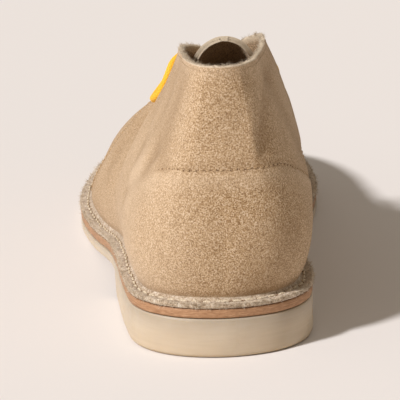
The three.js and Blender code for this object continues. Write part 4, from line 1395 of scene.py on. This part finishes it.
def stitch_meshes(rows, pitch, share, radius, rise, slant, holes, sides=8):
    """Threads that arch out of one needle hole and into the next, and dark discs of painted shade at the
    holes between them.
    """
    thread, dark = [], []
    random = np.random.default_rng(SEED)
    hump = np.sin(np.pi * THREAD_AT)
    for line, normals in rows:
        starts, up = resample(line, normals, pitch)
        ahead = unit(np.gradient(starts, axis=0))
        up = unit(up - ahead * (ahead * up).sum(1)[:, None])
        across = np.cross(ahead, up)
        jitter = random.normal(0, STITCH_WANDER, (len(starts), 2))
        long = pitch * share * (1 + random.normal(0, STITCH_UNEVEN, len(starts)))
        turned = ahead + across * (slant + 0.5 * jitter[:, :1])
        base = starts + across * jitter[:, 1:] * radius * 2
        centre = base[:, None] + turned[:, None] * (THREAD_AT[None, :, None] * long[:, None, None])
        arch = rise * hump**0.7 - radius * THREAD_DIVE * (1 - hump**0.5)
        centre = centre + up[:, None] * arch[None, :, None]
        angle = circle(sides)
        twist = 1 + THREAD_TWIST * np.cos(2 * angle[None] + THREAD_TURNS * THREAD_AT[:, None])
        reach = radius * THREAD_GIRTH[:, None] * twist
        thread.append(centre[:, :, None] + reach[None, ..., None] * wheel(angle, across, up)[:, None])
        spots = np.concatenate([base, base + turned * long[:, None]])
        dark.append((spots, np.tile(up, (2, 1)), np.tile(across, (2, 1)), np.tile(ahead, (2, 1))))
    ring = np.concatenate(thread)
    faces = []
    for index in numbered(ring):
        faces += [face[::-1] for face in grid_faces(index)]
        faces += [tuple(index[0]), tuple(index[-1][::-1])]
    points = ring.reshape(-1, 3)
    materials = np.zeros(len(faces), np.int32)
    spots, up, across, ahead = (np.concatenate(part) for part in zip(*dark))
    angle = circle(HOLE_SIDES)
    size = holes * (1 + random.normal(0, HOLE_UNEVEN, len(spots)))
    discs = [spots[:, None] + up[:, None] * HOLE_MIDDLE]
    for reach, high in HOLE_RINGS:
        wide = (size * reach)[:, None, None]
        discs.append(
            spots[:, None] + up[:, None] * high
            + wide * np.cos(angle)[None, :, None] * across[:, None]
            + wide * np.sin(angle)[None, :, None] * ahead[:, None]
        )
    block = np.concatenate(discs, 1)
    for first in len(points) + np.arange(len(block)) * block.shape[1]:
        circles = [first + 1 + HOLE_SIDES * k + np.arange(HOLE_SIDES) for k in range(len(HOLE_RINGS))]
        faces += [(first, circles[0][k], circles[0][(k + 1) % HOLE_SIDES]) for k in range(HOLE_SIDES)]
        faces += grid_faces(np.array([circles[1], circles[0]]))
        faces += grid_faces(np.array([circles[2], circles[1]]))
    points = np.vstack([points, block.reshape(-1, 3)])
    materials = np.concatenate([materials, np.ones(len(faces) - len(materials), np.int32)])
    return points, faces, materials


def make_stitches(name, rows, material, slot, **options):
    points, faces, materials = stitch_meshes(rows, **options)
    piece = make_piece(name, points, faces, [material, HOLE_SHADE])
    piece.data.polygons.foreach_set("material_index", materials)
    return piece


def flange_line(inwards, above):
    points = RIM - RIM_OUT * inwards
    return np.column_stack([points, upper_foot(points[:, 1]) + above])


def round_heel(wanted):
    """Numbers of the wanted sections, from the lateral side round the heel to the medial side."""
    kept = [k for k in range(len(UPPER["base"])) if wanted(k)]
    return sorted(kept, key=lambda k: UPPER["sign"][k, 0] * UPPER["base"][k])


def crossing_row(height_of, ends):
    """Where each section near the heel passes a height, round the heel to the y each side ends at."""
    last = {SIDES[side]: float(turn_of(y)) for side, y in ends.items()}
    line, normals = [], []
    for k in round_heel(lambda k: UPPER["base"][k] <= last[int(UPPER["sign"][k, 0])]):
        column = UPPER["outer"][k]
        miss = column[:, 2] - height_of(column[:, 1])
        n = int(np.argmax(miss > 0))
        share = miss[n - 1] / (miss[n - 1] - miss[n])
        line.append(column[n - 1] * (1 - share) + column[n] * share)
        normals.append(UPPER["outward"][k, n])
    return np.array(line), np.array(normals)


def below_edge(down):
    """Lines at a distance below the collar and beside the facing, from throat to throat."""
    line, normals = [], []
    for k in round_heel(lambda k: UPPER["base"][k] < COLLAR_ENDS):
        column = UPPER["outer"][k][::-1]
        run = run_along(column)
        line.append([np.interp(down, run, column[:, n]) for n in range(3)])
        normals.append(UPPER["outward"][k][::-1][int(np.argmax(run >= down))])
    return np.array(line), np.array(normals)


def seam_row(turn):
    """Line over the whole boot, from flange to flange, along the section nearest to a turn."""
    count = len(UPPER["base"])
    n = int(np.argmin(np.abs(TURNS - turn)))
    lateral, medial = n, (count - n) % count
    line = np.concatenate([UPPER["outer"][lateral], UPPER["outer"][medial][::-1][1:]])
    normals = np.concatenate([UPPER["outward"][lateral], UPPER["outward"][medial][::-1][1:]])
    return line[3:-3], normals[3:-3]


WELT_INSET = 3.05
COLLAR_ENDS = 94.0  # turn of the last section with a collar stitch
WELT_PITCH, WELT_RADIUS, WELT_RISE = 4.7, 0.46, 0.2


def make_all_stitches():
    welt = flange_line(WELT_INSET, FLANGE_THICK - 0.1)
    up = np.tile([0.0, 0.0, 1.0], (len(welt), 1))
    make_stitches(
        "welt_stitches", [(welt, up)], THREAD, "lace", pitch=WELT_PITCH, share=0.8,
        radius=WELT_RADIUS, rise=WELT_RISE, slant=0.12, holes=0.5,
    )
    height = lambda y: np.interp(y, COUNTER[:, 0], COUNTER[:, 1]) + COUNTER_STITCH_UP
    row = crossing_row(height, COUNTER_SHOWN_TO)
    make_stitches(
        "counter_stitches", [row], FINE_THREAD, "suede", pitch=2.55, share=0.7, radius=0.21,
        rise=0.12, sides=6, slant=0.1, holes=0.27,
    )
    make_stitches(
        "collar_stitches", [below_edge(1.7)], EDGE_THREAD, "suede", pitch=2.3, share=0.62, radius=0.13,
        rise=0.03, sides=6, slant=0.08, holes=0.1,
    )
    make_stitches(
        "quarter_stitches", [seam_row(97.1), seam_row(96.0)], FINE_THREAD, "suede", pitch=3.1, share=0.74,
        radius=0.28, rise=0.18, sides=6, slant=0.05, holes=0.32,
    )


make_all_stitches()

# ---------------------------------------------------------------- frayed fibres on cut edges
FIBRE_SIDES, FIBRE_BEND, FIBRE_TAPER = 3, (0.25, 0.75), 0.6
ROOTED = 0.15  # how deep in the flange its upper fibres start
FIBRE_STATIONS = np.array([0.0, 0.45, 0.8])


def fibre_mesh(roots, aim, length, radius, random):
    """Thin tapered curled fibres: points and faces."""
    count = len(roots)
    curl = unit(random.normal(0, 1, (count, 3)))
    bend = random.uniform(*FIBRE_BEND, count)[:, None]
    side = unit(np.cross(aim, curl))
    over = np.cross(aim, side)
    angle = 2 * math.pi * np.arange(FIBRE_SIDES) / FIBRE_SIDES
    rings = []
    for s in FIBRE_STATIONS:
        centre = roots + length[:, None] * (aim * s + curl * bend * s * s)
        thick = radius * (1 - FIBRE_TAPER * s)
        rings.append(centre[:, None] + thick * wheel(angle, side, over))
    tip = roots + length[:, None] * (aim + curl * bend)
    block = np.concatenate([*rings, tip[:, None]], 1)
    pattern = []
    for k in range(len(FIBRE_STATIONS) - 1):
        index = np.arange(2 * FIBRE_SIDES).reshape(2, FIBRE_SIDES) + k * FIBRE_SIDES
        pattern += grid_faces(index)
    last = (len(FIBRE_STATIONS) - 1) * FIBRE_SIDES
    tip_at = last + FIBRE_SIDES
    pattern += [(last + n, last + (n + 1) % FIBRE_SIDES, tip_at) for n in range(FIBRE_SIDES)]
    faces = []
    for n in range(count):
        start = n * block.shape[1]
        faces += [tuple(start + v for v in face) for face in pattern]
    return block.reshape(-1, 3), faces


def fuzz_material():
    m = Nodes("raw_fibre")
    tone = m.noise(3 * MM, 3, 0.6)
    color = m.ramp(
        m.span(tone, 0.3, 0.7),
        [(0, srgb(160, 138, 110)), (0.55, srgb(200, 182, 156)), (1, srgb(236, 224, 204))],
    )
    return m.done(
        Base_Color=color, Roughness=0.9, Sheen_Weight=0.3, Normal=m.bump(tone, 0.05 * MM, 0.3)
    )


RAW_FIBRE = fuzz_material()


def make_fuzz(name, strands):
    """strands: count, a function of the random numbers to roots and aims, shortest, longest, radius."""
    random = np.random.default_rng(SEED + len(name))
    points, faces = [], []
    for count, place, shortest, longest, radius in strands:
        roots, aim = place(count, random)
        length = shortest + (longest - shortest) * random.uniform(0, 1, count) ** 2
        some, those = fibre_mesh(roots, unit(aim), length, radius, random)
        start = sum(len(p) for p in points)
        points.append(some)
        faces += [tuple(v + start for v in face) for face in those]
    return make_piece(name, np.vstack(points), faces, RAW_FIBRE)


def on_flange_edge(count, random):
    at = random.integers(0, len(RIM), count)
    above = random.uniform(0.1, FLANGE_THICK, count)
    points = RIM[at] - RIM_OUT[at] * 0.25
    roots = np.column_stack([points, upper_foot(points[:, 1]) + above])
    aim = np.column_stack([RIM_OUT[at], above * 0.7 - 0.3]) + random.normal(0, 0.45, (count, 3))
    return roots, aim


def on_flange_top(count, random):
    at = random.integers(0, len(RIM), count)
    inwards = random.uniform(0.1, 3.0, count)
    points = RIM[at] - RIM_OUT[at] * inwards[:, None]
    height = upper_foot(points[:, 1]) + FLANGE_THICK - ROOTED
    aim = np.column_stack([RIM_OUT[at] * 0.7, np.full(count, 0.45)]) + random.normal(0, 0.5, (count, 3))
    aim[:, 2] = np.abs(aim[:, 2])
    return np.column_stack([points, height]), aim


def on_collar(count, random):
    open_turns = np.where(UPPER["base"] < THROAT_TURN - 1)[0]
    step = np.linalg.norm(
        UPPER["outer"][open_turns, -1] - np.roll(UPPER["outer"], 1, 0)[open_turns, -1], axis=1
    )
    k = random.choice(open_turns, count, p=step / step.sum())
    across = random.uniform(0, 1, count)[:, None]
    slide = random.uniform(-0.5, 0.5, count)[:, None]
    outer, inner = UPPER["outer"][:, -1], UPPER["inner"][:, 0]
    along_rim = (np.roll(outer, -1, 0) - np.roll(outer, 1, 0))[k] / 2 * slide
    roots = outer[k] * (1 - across) + inner[k] * across + along_rim + UPPER["edge_up"][k] * 0.1
    aim = UPPER["edge_up"][k] * 0.8 + UPPER["outward"][k, -1] * (0.9 - 1.8 * across)
    return roots, aim + random.normal(0, 0.4, (count, 3))


def on_tongue_edge(count, random):
    rows = random.integers(0, len(TONGUE_POINTS), count)
    side = random.integers(0, 2, count)
    edge_from = TONGUE_ACROSS + 1
    pick = np.where(side == 0, edge_from + 2, TONGUE_POINTS.shape[1] - 3)
    roots = TONGUE_POINTS[rows, pick]
    aim = unit(roots - TONGUE_POINTS[rows, TONGUE_ACROSS // 2]) + TONGUE_AHEAD[rows] * 0.5
    return roots, aim + random.normal(0, 0.4, (count, 3))


make_fuzz("flange_fibres", [
    (5600, on_flange_edge, 0.4, 1.7, 0.085), (5600, on_flange_top, 0.4, 1.5, 0.085),
])
make_fuzz("collar_fibres", [
    (4600, on_collar, 0.3, 1.4, 0.07), (1200, on_tongue_edge, 0.3, 1.0, 0.06),
])

# ---------------------------------------------------------------- floor and light
FLOOR_HALF, FLOOR_BELOW = 12.0, 0.0001  # metres; just under the tread, so that the two never flicker
KEY_COLOR = (1.0, 0.985, 0.99)
KEY_FROM = np.array([-0.83, -0.56])
KEY_HEIGHT_ANGLE, KEY_SPREAD, KEY_STRENGTH = math.radians(42), math.radians(6), 3.5
WORLD_COLOR, WORLD_STRENGTH = srgb(240, 228, 212), 0.38


def make_stage():
    mesh = bpy.data.meshes.new("floor")
    corners = [(-1, -1), (1, -1), (1, 1), (-1, 1)]
    mesh.from_pydata([(x * FLOOR_HALF, y * FLOOR_HALF, 0) for x, y in corners], [], [(0, 1, 2, 3)])
    mesh.materials.append(floor_material())
    floor = new_object("floor", mesh)
    floor.location.z = CAD_LOW.z - FLOOR_BELOW

    data = bpy.data.lights.new("key", "SUN")
    data.angle, data.energy = KEY_SPREAD, KEY_STRENGTH
    data.color = KEY_COLOR
    key = new_object("key", data)
    flat = unit(KEY_FROM) * math.cos(KEY_HEIGHT_ANGLE)
    toward = Vector((flat[0], flat[1], math.sin(KEY_HEIGHT_ANGLE)))
    key.location = toward
    key.rotation_mode = "QUATERNION"
    key.rotation_quaternion = toward.to_track_quat("Z", "Y")

    world = bpy.data.worlds.new("studio")
    world.use_nodes = True
    background = world.node_tree.nodes["Background"]
    background.inputs["Color"].default_value = WORLD_COLOR
    background.inputs["Strength"].default_value = WORLD_STRENGTH
    bpy.context.scene.world = world
    bpy.context.scene.view_settings.view_transform = "Standard"


make_stage()
